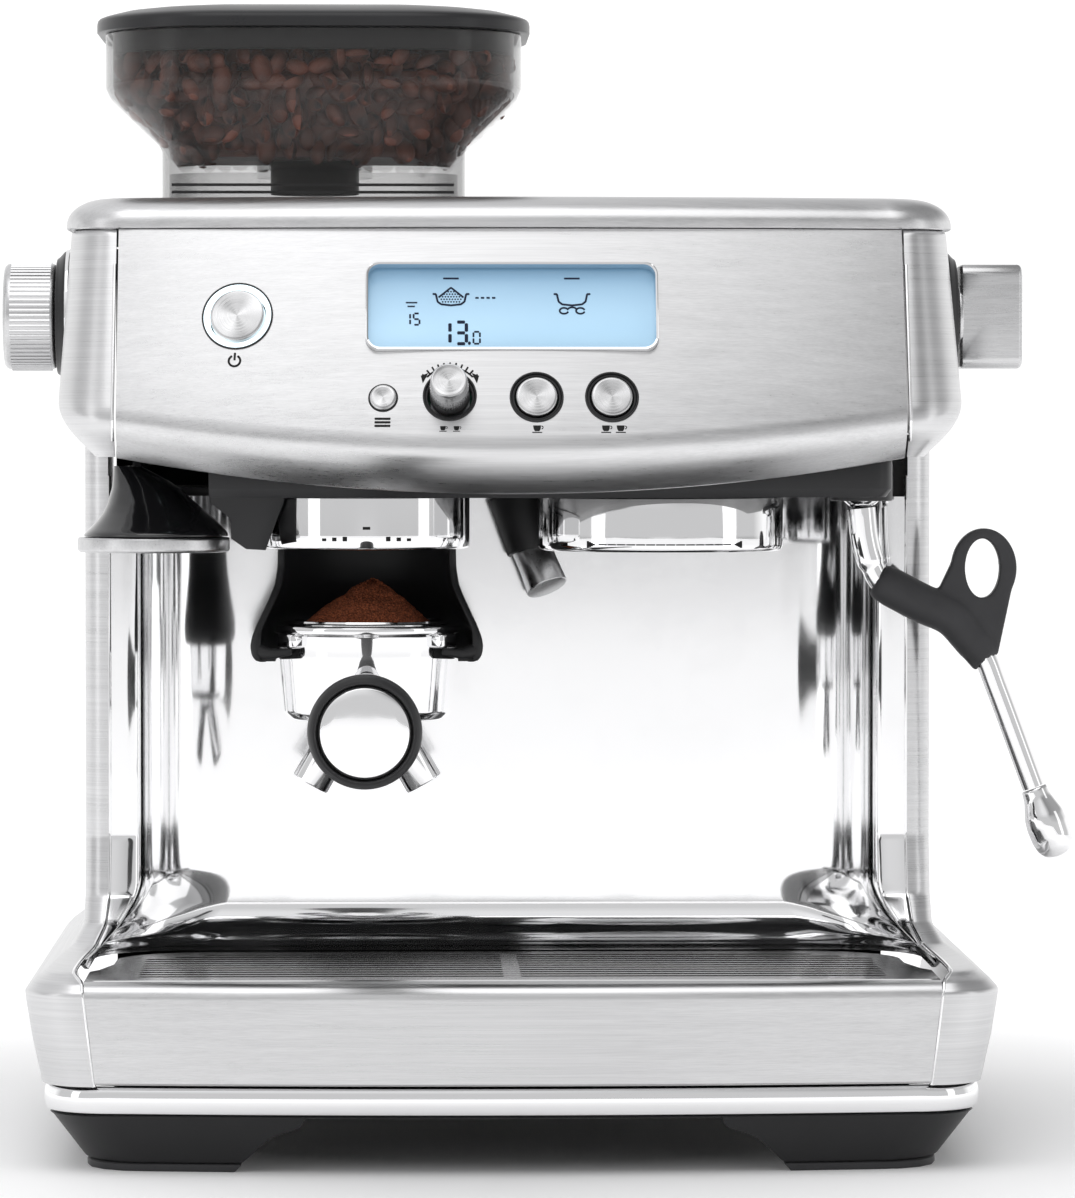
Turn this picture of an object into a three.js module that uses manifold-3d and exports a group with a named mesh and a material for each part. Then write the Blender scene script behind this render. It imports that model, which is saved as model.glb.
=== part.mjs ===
// A home espresso machine with a built-in conical burr grinder: brushed steel casing, polished cup bay,
// bean hopper, portafilter in its dosing cradle, tamper, steam wand, drip tray and rear water tank.
// Millimetres, +Z up, the front faces -Y. Pieces are modelled about the casing's centre line and the
// finished group is moved so that its origin is the middle of the whole machine's footprint.
import * as THREE from "three";
import { mergeVertices } from "three/addons/utils/BufferGeometryUtils.js";
import Module from "manifold-3d";

const wasm = await Module();
wasm.setup();

// ---- Driving dimensions ---------------------------------------------------------------------------

const GAP = 0.4; // left between pieces that touch
const SHEET = 2; // steel casing panels
const PLASTIC = 3; // moulded walls

const casing = { backY: 112, columnHalf: 149.5, columnInner: 141, columnTopZ: 250, bottomZ: 30 };
const base = { half: 158, footHalf: 146.5, frontY: -168, backY: 171.5, bow: 8, corner: 22, topZ: 20 };
const arch = { topHalf: 71, footHalf: 94.5, height: 19.4, frontFootDepth: 62, rearFootDepth: 55 };
const pad = { height: 2.6, inset: 0.8 };
const trim = { half: 160, height: 9.2, depth: 7, edge: 1.2 };
const shoulder = { half: 166.3, z: 61.5, topZ: 66.6, frontY: -165 };
const seam = { trayBottom: 142.1, trayTop: 146, head: 135.5, slit: 0.7 };
const bay = { backY: -12, corner: 34, coveTopZ: 80, coveDepth: 33 };
const grid = { frontHalf: 145.6, half: 138.6, frontY: -158, backY: -47, topZ: 65.5, thick: 2.4, slots: 11 };
const tray = { half: 138, height: 30, wall: 2.5, frontThick: 8, bow: 7 };

const head = { topZ: 321, topY: -128, bow: 14, slope: Math.tan(THREE.MathUtils.degToRad(22)) };
const crease = { z: 243.5, rise: 9.5, blend: 7, tuck: 12 };
const lip = { z: 230.5, rise: 12.2 };
const cheek = { topHalf: 152.5, half: 156, widestZ: 262, footHalf: 143.5, cornerDepth: 24, footBackY: -76 };
const under = { z: 228.7, height: 14, half: 132, frontY: -141, bow: 18, backY: 10 };
const cover = { half: 154.2, frontY: -130, height: 11, round: 14, bow: 14, plateDepth: 2 };

const hopper = { x: -69, y: -5, neckHalf: 54.2, half: 74.3, neckCorner: 25, corner: 45, wall: 2.6 };
const coverTopZ = head.topZ + GAP + cover.height;
const hopperZ = { floor: coverTopZ + 10.6, neck: coverTopZ + 18.6, shoulder: coverTopZ + 40, top: coverTopZ + 60.8 };
const lid = { overhang: 3, edge: 4.6, dome: 10.7, skirt: 8 };
const throat = { radius: 21 };
const lock = { radius: 17, height: 16, bar: 5 };

const burr = { bore: 28.5, outer: 28, inner: 20, z: 305, height: 16, shaft: 4 };
const gearbox = { chamber: 33, bottomZ: 244, plateTopZ: 262, halfX: 36, frontY: -38, backY: 80 };
const motor = { y: 45, radius: 29, length: 112 };
const chute = { radius: 12, bore: 9, bendZ: 256 };

const dose = { x: -49.8, y: -88, shroudRadius: 35.9, shroudHeight: 17.8, shroudWall: 2.5 };
const bracket = { frontY: -115, backY: -106, bottomZ: 210.4 };
const cradle = { bottomZ: 171.5, armLength: 20, bore: 36.6, half: 40.4, railInner: 31.6, neckGap: 2.4 };
const filter = { rimRadius: 33, rimZ: 181, rimHeight: 3, bodyRadius: 30.9, footRadius: 29.3, bore: 27.4,
  bottomZ: 151, ear: 35.3, earHeight: 5 };
const basket = { radius: 26.8, wall: 0.7, rim: 28.8, depth: 23, rimHeight: 1 };
const grip = { neck: 8, length: 132, endRadius: 18.6, capRadius: 15.2, startZ: 159.3, drop: 4 };
const spout = { hub: 12.5, start: 7, reach: 20, tube: 6.8, bore: 4.8, outletZ: 128.1 };

const group = { x: 53, y: -85, radius: 43, bore: 36, height: 18.6, screen: 27 };
const heater = { radius: 34, height: 44 };
const tamper = { x: -123.9, y: -98, radius: 26.4, z: 209.5, discHeight: 5.1, dock: 20 };
const water = { x: group.x - group.radius - 4, y: -44, topRadius: 13, radius: 9, length: 20.5, tipRadius: 7.2, tipLength: 14 };

const wand = { x: 123.5, y: -86, ball: 8, ballZ: 232, collar: 3, tube: 4.2, lowerTube: 4.2, tip: 7.5,
  tipLength: 26 };
const loop = { x: 166.6, z: 203.4, halfX: 11.5, halfZ: 14, holeX: 6.1, holeZ: 10.4, thick: 6 };

const sideDial = { y: -40, z: 292.3, flange: 23.6, flangeHeight: 4.4, knob: 19.5, knobEnd: 179, shaft: 5 };
const lever = { end: 184, height: 37.2, thick: 17 };

const screen = { half: 50, height: 32.5, z: 294.2, lens: 1.6, sunk: 2.2 };
const board = { half: 104, height: 40, thick: 1.6, behind: 20 };
const power = { x: -93.8, z: 290.8, radius: 9.4, ring: 12 };
const keys = [
  { name: "menu_button", x: -44, z: 262.8, radius: 4.6, hole: 5.1 },
  { name: "one_cup_button", x: 8.1, z: 263.1, radius: 7.1, hole: 9.2 },
  { name: "two_cup_button", x: 33.7, z: 263.1, radius: 7.1, hole: 9.2 },
];
const keyBody = { proud: 1.2, deep: 6 };
const dial = { x: -21.4, z: 263.5, radius: 6.9, face: 6.2, height: 14.4, hole: 9.2, stem: 3 };

const tank = { half: 126, backY: 171.5, wall: 2.5, bottomZ: 30, topZ: 318, corner: 20 };
const tankLid = { height: 11.5, hinge: 3 };
const pump = { x: 72, y: 50, z: 82, radius: 20, length: 92, nose: 7 };
const inlet = { x: 138, z: 46, radius: 7, length: 12, bore: 3.6 };

// ---- Finishes -------------------------------------------------------------------------------------

const finish = (color, roughness, metalness, extra = {}) =>
  new THREE.MeshStandardMaterial({ color, roughness, metalness, ...extra });
const brushed = finish(0xc4c6c8, 0.34, 1);
const polished = finish(0xd9dadb, 0.08, 1);
const chrome = finish(0xe2e3e4, 0.04, 1);
const satin = finish(0x9a9b9c, 0.4, 1);
const black = finish(0x1d1e1f, 0.45, 0);
const gloss = finish(0x0c0c0d, 0.15, 0);
const rubber = finish(0x2a2b2c, 0.8, 0);
const smoked = finish(0x5b6062, 0.05, 0, { transparent: true, opacity: 0.35 });
const glass = finish(0xa9cbe2, 0.05, 0, { transparent: true, opacity: 0.5 });
const light = finish(0xf2fbff, 0.3, 0);
const green = finish(0x1f5a3a, 0.6, 0);
const aluminium = finish(0xb0b2b4, 0.5, 1);
const steel = finish(0x8c8e90, 0.35, 1);

// ---- Geometry helpers -----------------------------------------------------------------------------

const V2 = (x, y) => new THREE.Vector2(x, y);
const V3 = (x, y, z) => new THREE.Vector3(x, y, z);
const lerp = THREE.MathUtils.lerp;

// A closed manifold from a three.js geometry, turned the right way out.
function solid(geometry) {
  const open = geometry.index ? geometry.toNonIndexed() : geometry.clone();
  const bare = new THREE.BufferGeometry().setAttribute("position", open.getAttribute("position"));
  const merged = mergeVertices(bare, 1e-3);
  const vertProperties = merged.attributes.position.array;
  const triVerts = new Uint32Array(merged.index.array);
  const make = () => new wasm.Manifold(new wasm.Mesh({ numProp: 3, vertProperties, triVerts }));
  const made = make();
  if (made.volume() > 0) return made;
  for (let i = 0; i < triVerts.length; i += 3) triVerts.subarray(i, i + 3).reverse();
  return make();
}

function geometryOf(made) {
  const mesh = made.getMesh();
  const position = new THREE.BufferAttribute(new Float32Array(mesh.vertProperties), 3);
  const geometry = new THREE.BufferGeometry().setAttribute("position", position);
  geometry.setIndex(new THREE.BufferAttribute(new Uint32Array(mesh.triVerts), 1));
  const faces = geometry.toNonIndexed();
  faces.computeVertexNormals();
  return faces;
}

const joined = (...geometries) => geometries.map(solid).reduce((a, b) => a.add(b));
const without = (made, ...geometries) => geometries.reduce((left, cut) => left.subtract(solid(cut)), made);

function box(x0, x1, y0, y1, z0, z1) {
  const made = new THREE.BoxGeometry(x1 - x0, y1 - y0, z1 - z0);
  return made.translate((x0 + x1) / 2, (y0 + y1) / 2, (z0 + z1) / 2);
}

// A cylinder or cone standing on z0, from radius r0 to r1.
function post(x, y, z0, z1, r0, r1 = r0, segments = 16) {
  const made = new THREE.CylinderGeometry(r1, r0, z1 - z0, segments);
  return made.rotateX(Math.PI / 2).translate(x, y, (z0 + z1) / 2);
}

// A turned shape about +Z from [radius, z] pairs that start and end on the axis or close on themselves.
function turned(profile, segments = 20) {
  return new THREE.LatheGeometry(profile.map(([r, z]) => V2(r, z)), segments).rotateX(Math.PI / 2);
}

const closed = (profile) => [...profile, profile[0]];

// A round rod from one point to another.
function rod(from, to, r0, r1 = r0, segments = 12) {
  const axis = to.clone().sub(from);
  const made = new THREE.CylinderGeometry(r1, r0, axis.length(), segments);
  const turn = new THREE.Quaternion().setFromUnitVectors(V3(0, 1, 0), axis.clone().normalize());
  return made.applyQuaternion(turn).translate(...from.clone().add(to).multiplyScalar(0.5).toArray());
}

// A closed solid through a stack of loops with equal point counts; flat(point) lays a cap out in 2-D.
function loft(loops, flat = (p) => V2(p.x, p.y)) {
  const count = loops[0].length;
  const points = loops.flat();
  const faces = [];
  for (let i = 0; i + 1 < loops.length; i++)
    for (let j = 0; j < count; j++) {
      const a = i * count + j;
      const b = i * count + ((j + 1) % count);
      faces.push([a, b, b + count], [a, b + count, a + count]);
    }
  const cap = (loop, offset, up) => {
    const outline = loop.map(flat);
    const facing = Math.sign(THREE.ShapeUtils.area(outline)) * (up ? 1 : -1);
    for (const [a, b, c] of THREE.ShapeUtils.triangulateShape(outline.slice(), [])) {
      const kept = THREE.ShapeUtils.area([outline[a], outline[b], outline[c]]) * facing > 0;
      faces.push(kept ? [a + offset, b + offset, c + offset] : [a + offset, c + offset, b + offset]);
    }
  };
  cap(loops[0], 0, false);
  cap(loops[loops.length - 1], (loops.length - 1) * count, true);
  const position = new Float32Array(faces.flat().flatMap((i) => points[i].toArray()));
  return new THREE.BufferGeometry().setAttribute("position", new THREE.BufferAttribute(position, 3));
}

const atZ = (outline, z) => outline.map((p) => V3(p.x, p.y, z));

// A whole plan outline: bowed front, elliptical front corners, round back corners.
function planLoop({ half, frontY, backY, bow = 0, cornerX, cornerY = cornerX, backCorner = 10, steps = 4 }) {
  const right = [];
  const flatHalf = half - cornerX;
  for (let i = 1; i <= steps; i++) {
    const x = (flatHalf * i) / steps;
    right.push(V2(x, frontY + bow * (x / flatHalf) ** 2));
  }
  for (let i = 1; i <= steps; i++) {
    const t = ((i / steps) * Math.PI) / 2;
    right.push(V2(flatHalf + cornerX * Math.sin(t), frontY + bow + cornerY * (1 - Math.cos(t))));
  }
  for (let i = 0; i <= steps; i++) {
    const t = ((i / steps) * Math.PI) / 2;
    right.push(V2(half - backCorner * (1 - Math.cos(t)), backY - backCorner * (1 - Math.sin(t))));
  }
  const left = right.map((p) => V2(-p.x, p.y)).reverse();
  return [V2(0, frontY), ...right, ...left];
}

// A rounded square about a centre.
function squareLoop(x, y, half, corner, steps = 5) {
  const loop = [];
  for (let quarter = 0; quarter < 4; quarter++)
    for (let i = 0; i <= steps; i++) {
      const angle = ((quarter + i / steps) * Math.PI) / 2;
      const cx = (quarter === 0 || quarter === 3 ? 1 : -1) * (half - corner);
      const cy = (quarter < 2 ? 1 : -1) * (half - corner);
      loop.push(V2(x + cx + corner * Math.cos(angle), y + cy + corner * Math.sin(angle)));
    }
  return loop;
}

// The wall of a panel that starts at the front seam, turns the corner and runs to the back, +X side.
function wallLoop(seamX, frontY, sideX, depth, backY, wall, steps = 4, innerY = frontY + wall) {
  const path = (inset, startY) => {
    const turn = Math.max(depth - (startY - frontY), 2);
    const points = [V2(seamX, startY)];
    for (let i = 1; i <= steps; i++) {
      const t = ((i / steps) * Math.PI) / 2;
      const reach = sideX - inset - seamX;
      points.push(V2(seamX + reach * Math.sin(t), startY + turn * (1 - Math.cos(t))));
    }
    return [...points, V2(sideX - inset, backY)];
  };
  return [...path(0, frontY), ...path(wall, innerY).reverse()];
}

const mirrored = (geometry) => geometry.clone().applyMatrix4(new THREE.Matrix4().makeScale(-1, 1, 1));

const machine = new THREE.Group();

function piece(name, made, material) {
  const geometry = geometryOf(made instanceof THREE.BufferGeometry ? solid(made) : made);
  const mesh = new THREE.Mesh(geometry, material);
  mesh.name = name;
  machine.add(mesh);
}

// ---- Base: plinth, rubber pads and chrome trim -----------------------------------------------------

const plinthBottomZ = pad.height + GAP;

function footprint(half, inset = 0) {
  const shrink = base.half - half + inset;
  const corner = Math.max(base.corner - inset, 8);
  return planLoop({
    half: half - inset, frontY: base.frontY + shrink * 0.6, backY: base.backY - shrink * 0.6,
    bow: base.bow, cornerX: corner, backCorner: corner,
  });
}

// The feet flare into the arch between them: [part of the way to the arch's top half, part of its height].
const archSide = [[0, 0], [0.21, 0.28], [0.5, 0.6], [0.75, 0.73], [0.94, 0.82], [1, 1]];

// The bay between the feet, which narrows upwards in a soft S, run right through from front to back.
function archCut(along) {
  const side = [V2(arch.footHalf, -5), ...archSide.map(([part, rise]) =>
    V2(lerp(arch.footHalf, arch.topHalf, part), rise * arch.height))];
  const profile = new THREE.Shape([...side, ...side.map((p) => V2(-p.x, p.y)).reverse()]);
  const made = new THREE.ExtrudeGeometry(profile, { depth: 2 * along, bevelEnabled: false });
  return made.rotateX(Math.PI / 2).translate(0, along, 0);
}

function footStrip(z0) {
  const front = base.frontY + arch.frontFootDepth;
  const back = base.backY - arch.rearFootDepth;
  return box(-base.half - 5, base.half + 5, front, back, z0 - 1, arch.height);
}

function makeBase() {
  const through = base.backY + 40;
  const lower = loft([atZ(footprint(base.footHalf), plinthBottomZ), atZ(footprint(base.half), base.topZ)]);
  const bodyHalf = trim.half - trim.depth - GAP;
  const upperTopZ = casing.bottomZ - GAP;
  const upper = loft([
    atZ(footprint(base.half, base.half - bodyHalf), base.topZ - 1),
    atZ(footprint(base.half, base.half - bodyHalf), upperTopZ),
  ]);
  piece("base_plinth", without(joined(lower, upper), archCut(through),
    footStrip(plinthBottomZ)), black);

  const trimZ = base.topZ + GAP;
  const trimTopZ = Math.min(trimZ + trim.height, casing.bottomZ - GAP);
  const outer = loft([
    atZ(footprint(trim.half - trim.edge), trimZ), atZ(footprint(trim.half), trimZ + trim.height / 2),
    atZ(footprint(trim.half - trim.edge / 3), trimTopZ),
  ]);
  const inner = footprint(base.half, base.half - bodyHalf - GAP);
  piece("chrome_trim", without(solid(outer), loft([atZ(inner, trimZ - 1), atZ(inner, trimTopZ + 1)])), chrome);

  const padFoot = footprint(base.footHalf, pad.inset);
  const pads = without(solid(loft([atZ(padFoot, 0), atZ(padFoot, pad.height)])),
    archCut(through), footStrip(-pad.height));
  for (const part of pads.decompose()) {
    const at = part.boundingBox();
    const where = (at.min[1] < 0 ? "front" : "rear") + (at.min[0] < 0 ? "_left" : "_right");
    piece("foot_pad_" + where, part, rubber);
  }
}

// ---- Lower casing: side panels, polished cup bay, rear cover ---------------------------------------

// How the side panel's front edge, its inner line and its outer face run with height. Where the shoulder
// lies almost flat, "inside" says where the sheet's inner face starts.
const columnLevels = [
  { z: casing.bottomZ, frontY: shoulder.frontY + 1, inner: seam.trayBottom, outer: shoulder.half - 5.8, depth: 22 },
  { z: 46, frontY: shoulder.frontY, inner: lerp(seam.trayBottom, seam.trayTop, 0.55), outer: shoulder.half - 2.4,
    depth: 22 },
  { z: shoulder.z, frontY: shoulder.frontY, inner: seam.trayTop, outer: shoulder.half, depth: 22 },
  { z: 65, frontY: shoulder.frontY + 3, inner: seam.trayTop + 0.3, outer: shoulder.half - 3.3, depth: 22,
    inside: -159 },
  { z: shoulder.topZ, frontY: grid.frontY + 1, inner: seam.trayTop + 2.5, outer: shoulder.half - 5.5, depth: 22,
    inside: -150 },
  { z: 68.2, frontY: -155, inner: seam.trayTop + 3.5, outer: shoulder.half - 7.4, depth: 20, inside: -118 },
  { z: 69.1, frontY: -125, inner: seam.trayTop + 2.5, outer: shoulder.half - 8.8, depth: 16, inside: -107 },
  { z: 71.4, frontY: -97, inner: 145.3, outer: 153.4, depth: 12 },
  { z: 78, frontY: -84, inner: casing.columnInner + 1.2, outer: casing.columnHalf + 0.2, depth: 10 },
  { z: 88, frontY: -76, inner: casing.columnInner + 0.2, outer: casing.columnHalf, depth: 9 },
  { z: 108, frontY: -72, inner: casing.columnInner, outer: casing.columnHalf, depth: 9 },
  { z: casing.columnTopZ, frontY: -72, inner: casing.columnInner, outer: casing.columnHalf, depth: 9 },
];

function makeSidePanels() {
  const right = loft(columnLevels.map((at) =>
    atZ(wallLoop(at.inner, at.frontY, at.outer, at.depth, casing.backY, SHEET, 4, at.inside), at.z)));
  piece("side_panel_right", right, brushed);
  piece("side_panel_left", mirrored(right), brushed);
}

// The U-shaped liner of the cup bay, which turns forward into a cove above the drip grid.
function bayLoop(half, frontY, innerY, outerY, corner, thick, steps = 5) {
  const path = (out, backY) => {
    const points = [V2(half + out, frontY)];
    for (let i = 0; i <= steps; i++) {
      const t = ((i / steps) * Math.PI) / 2;
      points.push(V2(half - corner + (corner + out) * Math.cos(t), backY - corner + (corner + out) * Math.sin(t)));
    }
    return [...points, ...points.map((p) => V2(-p.x, p.y)).reverse()];
  };
  return [...path(thick, outerY), ...path(0, innerY).reverse()];
}

// The cove's section: [part of the way up it, how far its face and its back stand forward of the wall].
const coveSection = [[0, 1, 0.36], [0.03, 0.58, 0.24], [0.12, 0.35, 0.17], [0.29, 0.19, 0.1], [0.57, 0.067, 0.03],
  [1, 0, 0]];

function makeBay() {
  const thick = 1.4;
  const columnAt = (z) => {
    const above = columnLevels.findIndex((at) => at.z >= z);
    const [a, b] = [columnLevels[Math.max(above - 1, 0)], columnLevels[above]];
    const t = b.z === a.z ? 0 : (z - a.z) / (b.z - a.z);
    return { inner: lerp(a.inner, b.inner, t), frontY: lerp(a.frontY, b.frontY, t) };
  };
  const lowZ = grid.topZ + GAP;
  const coveAt = (z) => {
    const rise = (z - lowZ) / (bay.coveTopZ - lowZ);
    const above = coveSection.findIndex(([at]) => at >= rise);
    if (above < 0) return { face: 0, back: 0 };
    const [a, b] = [coveSection[Math.max(above - 1, 0)], coveSection[above]];
    const t = b[0] === a[0] ? 0 : (rise - a[0]) / (b[0] - a[0]);
    return { face: bay.coveDepth * lerp(a[1], b[1], t), back: bay.coveDepth * lerp(a[2], b[2], t) };
  };
  const heights = coveSection.map(([at]) => lerp(lowZ, bay.coveTopZ, at));
  const columnHeights = columnLevels.map((at) => at.z).filter((z) => z > lowZ && z < under.z - GAP);
  const levels = [...heights, ...columnHeights, under.z - GAP].sort((a, b) => a - b);
  piece("backsplash", loft(levels.filter((z, i) => i === 0 || z - levels[i - 1] > 0.05).map((z) => {
    const at = columnAt(Math.max(z, shoulder.topZ));
    const half = at.inner - GAP - thick;
    const frontY = Math.max(at.frontY, -119) + 1;
    const { face, back } = coveAt(z);
    return atZ(bayLoop(half, frontY, bay.backY - face, bay.backY - back, bay.corner, thick, 4), z);
  })), polished);
}

function makeRear() {
  const half = casing.columnHalf - SHEET - 1.2;
  const frontY = casing.backY - 2 * SHEET;
  const wall = solid(box(-half, half, frontY, casing.backY, casing.bottomZ, head.topZ - GAP));
  const vents = [0, 1, 2, 3, 4, 5].map((i) =>
    box(-half + 4, -half + 15, frontY - 1, casing.backY + 1, 250 + i * 9, 254 + i * 9));
  const gland = rod(V3(inlet.x, frontY - 1, inlet.z), V3(inlet.x, casing.backY + 1, inlet.z),
    inlet.radius - 1.6);
  piece("rear_cover", without(wall, gland, ...vents), black);

  const collar = joined(
    rod(V3(inlet.x, frontY - 4, inlet.z), V3(inlet.x, casing.backY + GAP + inlet.length, inlet.z),
      inlet.radius - 2),
    rod(V3(inlet.x, casing.backY + GAP, inlet.z), V3(inlet.x, casing.backY + GAP + inlet.length, inlet.z),
      inlet.radius, inlet.radius - 1),
  );
  const bore = rod(V3(inlet.x, frontY - 6, inlet.z), V3(inlet.x, casing.backY + inlet.length + 4, inlet.z),
    inlet.bore);
  piece("power_inlet", without(collar, bore), rubber);
}

// ---- Head: fascia, cheeks, underside and cover -----------------------------------------------------

const across = (x) => (x / seam.head) ** 2;
const creaseZ = (x) => crease.z + crease.rise * across(x);
const lipZ = (x) => lip.z + lip.rise * across(x);
const fasciaY = (x, z) => head.topY + head.bow * across(x) - (head.topZ - z) * head.slope;

// The fascia's cross-section at x, from its top edge down over the crease to its lower lip.
function fasciaProfile(x, steps = 2) {
  const turnY = fasciaY(x, creaseZ(x));
  const start = V2(fasciaY(x, creaseZ(x) + crease.blend), creaseZ(x) + crease.blend);
  const end = V2(turnY + crease.tuck, lipZ(x));
  const corner = V2(turnY, creaseZ(x));
  const near = corner.clone().lerp(end, crease.blend / corner.distanceTo(end));
  const bend = new THREE.QuadraticBezierCurve(start, corner, near).getPoints(steps);
  return [V2(fasciaY(x, head.topZ), head.topZ), ...bend, end];
}

// Places a shape made about the origin, facing +Z, on the fascia at (x, z), sunk by some depth.
function onFascia(geometry, x, z, sunk = 0) {
  const lean = (2 * head.bow * x) / seam.head ** 2;
  const normal = V3(lean, -1, head.slope).normalize();
  const up = V3(0, 0, 1).addScaledVector(normal, -normal.z).normalize();
  const basis = new THREE.Matrix4().makeBasis(up.clone().cross(normal), up, normal);
  const at = V3(x, fasciaY(x, z), z).addScaledVector(normal, -sunk);
  return geometry.applyMatrix4(basis.setPosition(at));
}

function makeFascia() {
  const stations = 10;
  const half = seam.head - seam.slit / 2;
  const loops = [];
  for (let i = 0; i <= stations; i++) {
    const x = lerp(-half, half, i / stations);
    const outer = fasciaProfile(x);
    const inner = outer.map((p) => V2(p.x + SHEET, p.y)).reverse();
    loops.push([...outer, ...inner].map((p) => V3(x, p.x, p.y)));
  }
  const bores = [...keys, { ...dial }, { x: power.x, z: power.z, hole: power.ring + 0.3 }].map((key) =>
    onFascia(post(0, 0, -12, 12, key.hole, key.hole, 20), key.x, key.z));
  const windowCut = onFascia(box(-screen.half, screen.half, -screen.height / 2, screen.height / 2, -12, 12),
    0, screen.z);
  piece("front_fascia", without(solid(loft(loops, (p) => V2(p.y, p.z))), windowCut, ...bores), brushed);
}

function makeControls() {
  const halfLens = screen.half - GAP;
  const halfHeight = screen.height / 2 - GAP;
  piece("lcd_window", onFascia(box(-halfLens, halfLens, -halfHeight, halfHeight, -screen.lens, 0),
    0, screen.z, screen.sunk), glass);
  const displayTop = board.behind - screen.sunk - screen.lens - GAP;
  const circuit = joined(
    onFascia(box(-board.half, board.half, -board.height, 18, -board.thick, 0), 0, screen.z, board.behind),
    onFascia(box(-46, 46, -14, 14, -0.5, displayTop), 0, screen.z, board.behind),
  );
  piece("control_board", circuit, green);
  piece("power_light_ring", onFascia(turned(closed([
    [power.radius + 0.5, -4], [power.ring, -4], [power.ring, 0.5], [power.radius + 0.5, 0.5],
  ])), power.x, power.z), light);
  for (const key of [{ name: "power_button", ...power }, ...keys])
    piece(key.name, onFascia(post(0, 0, -keyBody.deep, keyBody.proud, key.radius, key.radius - 0.3, 16),
      key.x, key.z), satin);
  piece("dial_stem", onFascia(turned([[0, -9], [dial.radius, -9], [dial.radius, -6], [dial.stem, -6],
    [dial.stem, 6], [0, 6]], 10), dial.x, dial.z), steel);
  piece("dial_cap", without(
    solid(onFascia(turned([[0, -1], [dial.radius, -1], [dial.radius - 0.4, 3], [dial.face + 0.2, dial.height - 1],
      [dial.face - 0.4, dial.height], [0, dial.height]], 16), dial.x, dial.z)),
    onFascia(post(0, 0, -4, 6.5, dial.stem + 0.3, dial.stem + 0.3, 10), dial.x, dial.z)), satin);
}

function cheekHalf(z) {
  const { half, topHalf, footHalf, widestZ } = cheek;
  if (z > widestZ) return lerp(half, topHalf, (z - widestZ) / (head.topZ - widestZ));
  const footZ = lipZ(seam.head);
  return lerp(footHalf, half, Math.sin((((z - footZ) / (widestZ - footZ)) * Math.PI) / 2));
}

function makeCheeks() {
  const x = seam.head + seam.slit / 2;
  const end = fasciaProfile(seam.head, 3);
  const cut = casing.columnTopZ + GAP;
  const levels = [...end.map((p) => ({ y: p.x, z: p.y })),
    { y: lerp(end[0].x, end[1].x, 0.5), z: lerp(end[0].y, end[1].y, 0.5) }];
  const sorted = levels.sort((a, b) => a.z - b.z);
  const loops = sorted.map(({ y, z }) => {
    const backY = z > cut ? casing.backY : cheek.footBackY;
    return atZ(wallLoop(x, y, cheekHalf(z), cheek.cornerDepth, backY, SHEET), z);
  });
  const right = loft(loops);
  const cuts = (side) => [
    box(Math.min(side * 130, side * 170), Math.max(side * 130, side * 170), cheek.footBackY, casing.backY + 1,
      0, cut),
    onSide(post(0, 0, 140, 170, sideDial.shaft + 1), side),
  ];
  piece("head_cheek_right", without(solid(right), ...cuts(1)), brushed);
  piece("head_cheek_left", without(solid(mirrored(right)), ...cuts(-1)), brushed);
}

function makeUnderside() {
  const outline = (inset) => planLoop({
    half: under.half - inset, frontY: under.frontY + inset, backY: under.backY - inset, bow: under.bow,
    cornerX: 8, backCorner: 6,
  });
  const shell = loft([atZ(outline(2), under.z), atZ(outline(0), under.z + 3),
    atZ(outline(0), under.z + under.height)]);
  const inside = loft([atZ(outline(PLASTIC), under.z + PLASTIC), atZ(outline(PLASTIC), under.z + 40)]);
  const roof = lipCut();
  const hole = (x, y, r, depth = PLASTIC) => post(x, y, under.z - 1, under.z + depth + 1, r, r, 20);
  const bracketShape = new THREE.Shape([V2(-78, under.z + 1), V2(-84.7, bracket.bottomZ),
    V2(-91.4, bracket.bottomZ + 0.4), V2(-96.6, bracket.bottomZ + 4), V2(-96.6, bracket.bottomZ + 10.7),
    V2(-103.6, under.z - 2), V2(-103.6, under.z + 1)]);
  const bracketSlab = new THREE.ExtrudeGeometry(bracketShape, { depth: bracket.backY - bracket.frontY,
    bevelEnabled: false }).rotateX(Math.PI / 2).translate(0, bracket.backY, 0);
  const beside = without(solid(bracketSlab), post(dose.x, dose.y, bracket.bottomZ - 5, under.z,
    dose.shroudRadius + GAP, dose.shroudRadius + GAP, 24));
  piece("head_underside", without(without(solid(shell), inside).add(beside), roof,
    hole(group.x, group.y, 15), hole(dose.x, dose.y, chute.radius + 1.5),
    box(-under.half - 1, tamper.x + tamper.dock, under.frontY - 1, tamper.y + tamper.dock, under.z - 1,
      under.z + under.height + 1),
    hole(wand.x, wand.y, wand.ball + wand.collar + 1.2, under.height)),
  black);
}

// What lies above and in front of the fascia's inner face, so that the black underside stops behind it.
function lipCut() {
  const stations = 12;
  const loops = [];
  for (let i = 0; i <= stations; i++) {
    const x = lerp(-under.half - 2, under.half + 2, i / stations);
    const backY = fasciaProfile(x).at(-1).x + SHEET + GAP;
    loops.push([V3(x, backY - 60, lipZ(x) - GAP), V3(x, backY, lipZ(x) - GAP), V3(x, backY, lipZ(x) + 60),
      V3(x, backY - 60, lipZ(x) + 60)]);
  }
  return loft(loops, (p) => V2(p.y, p.z));
}

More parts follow.
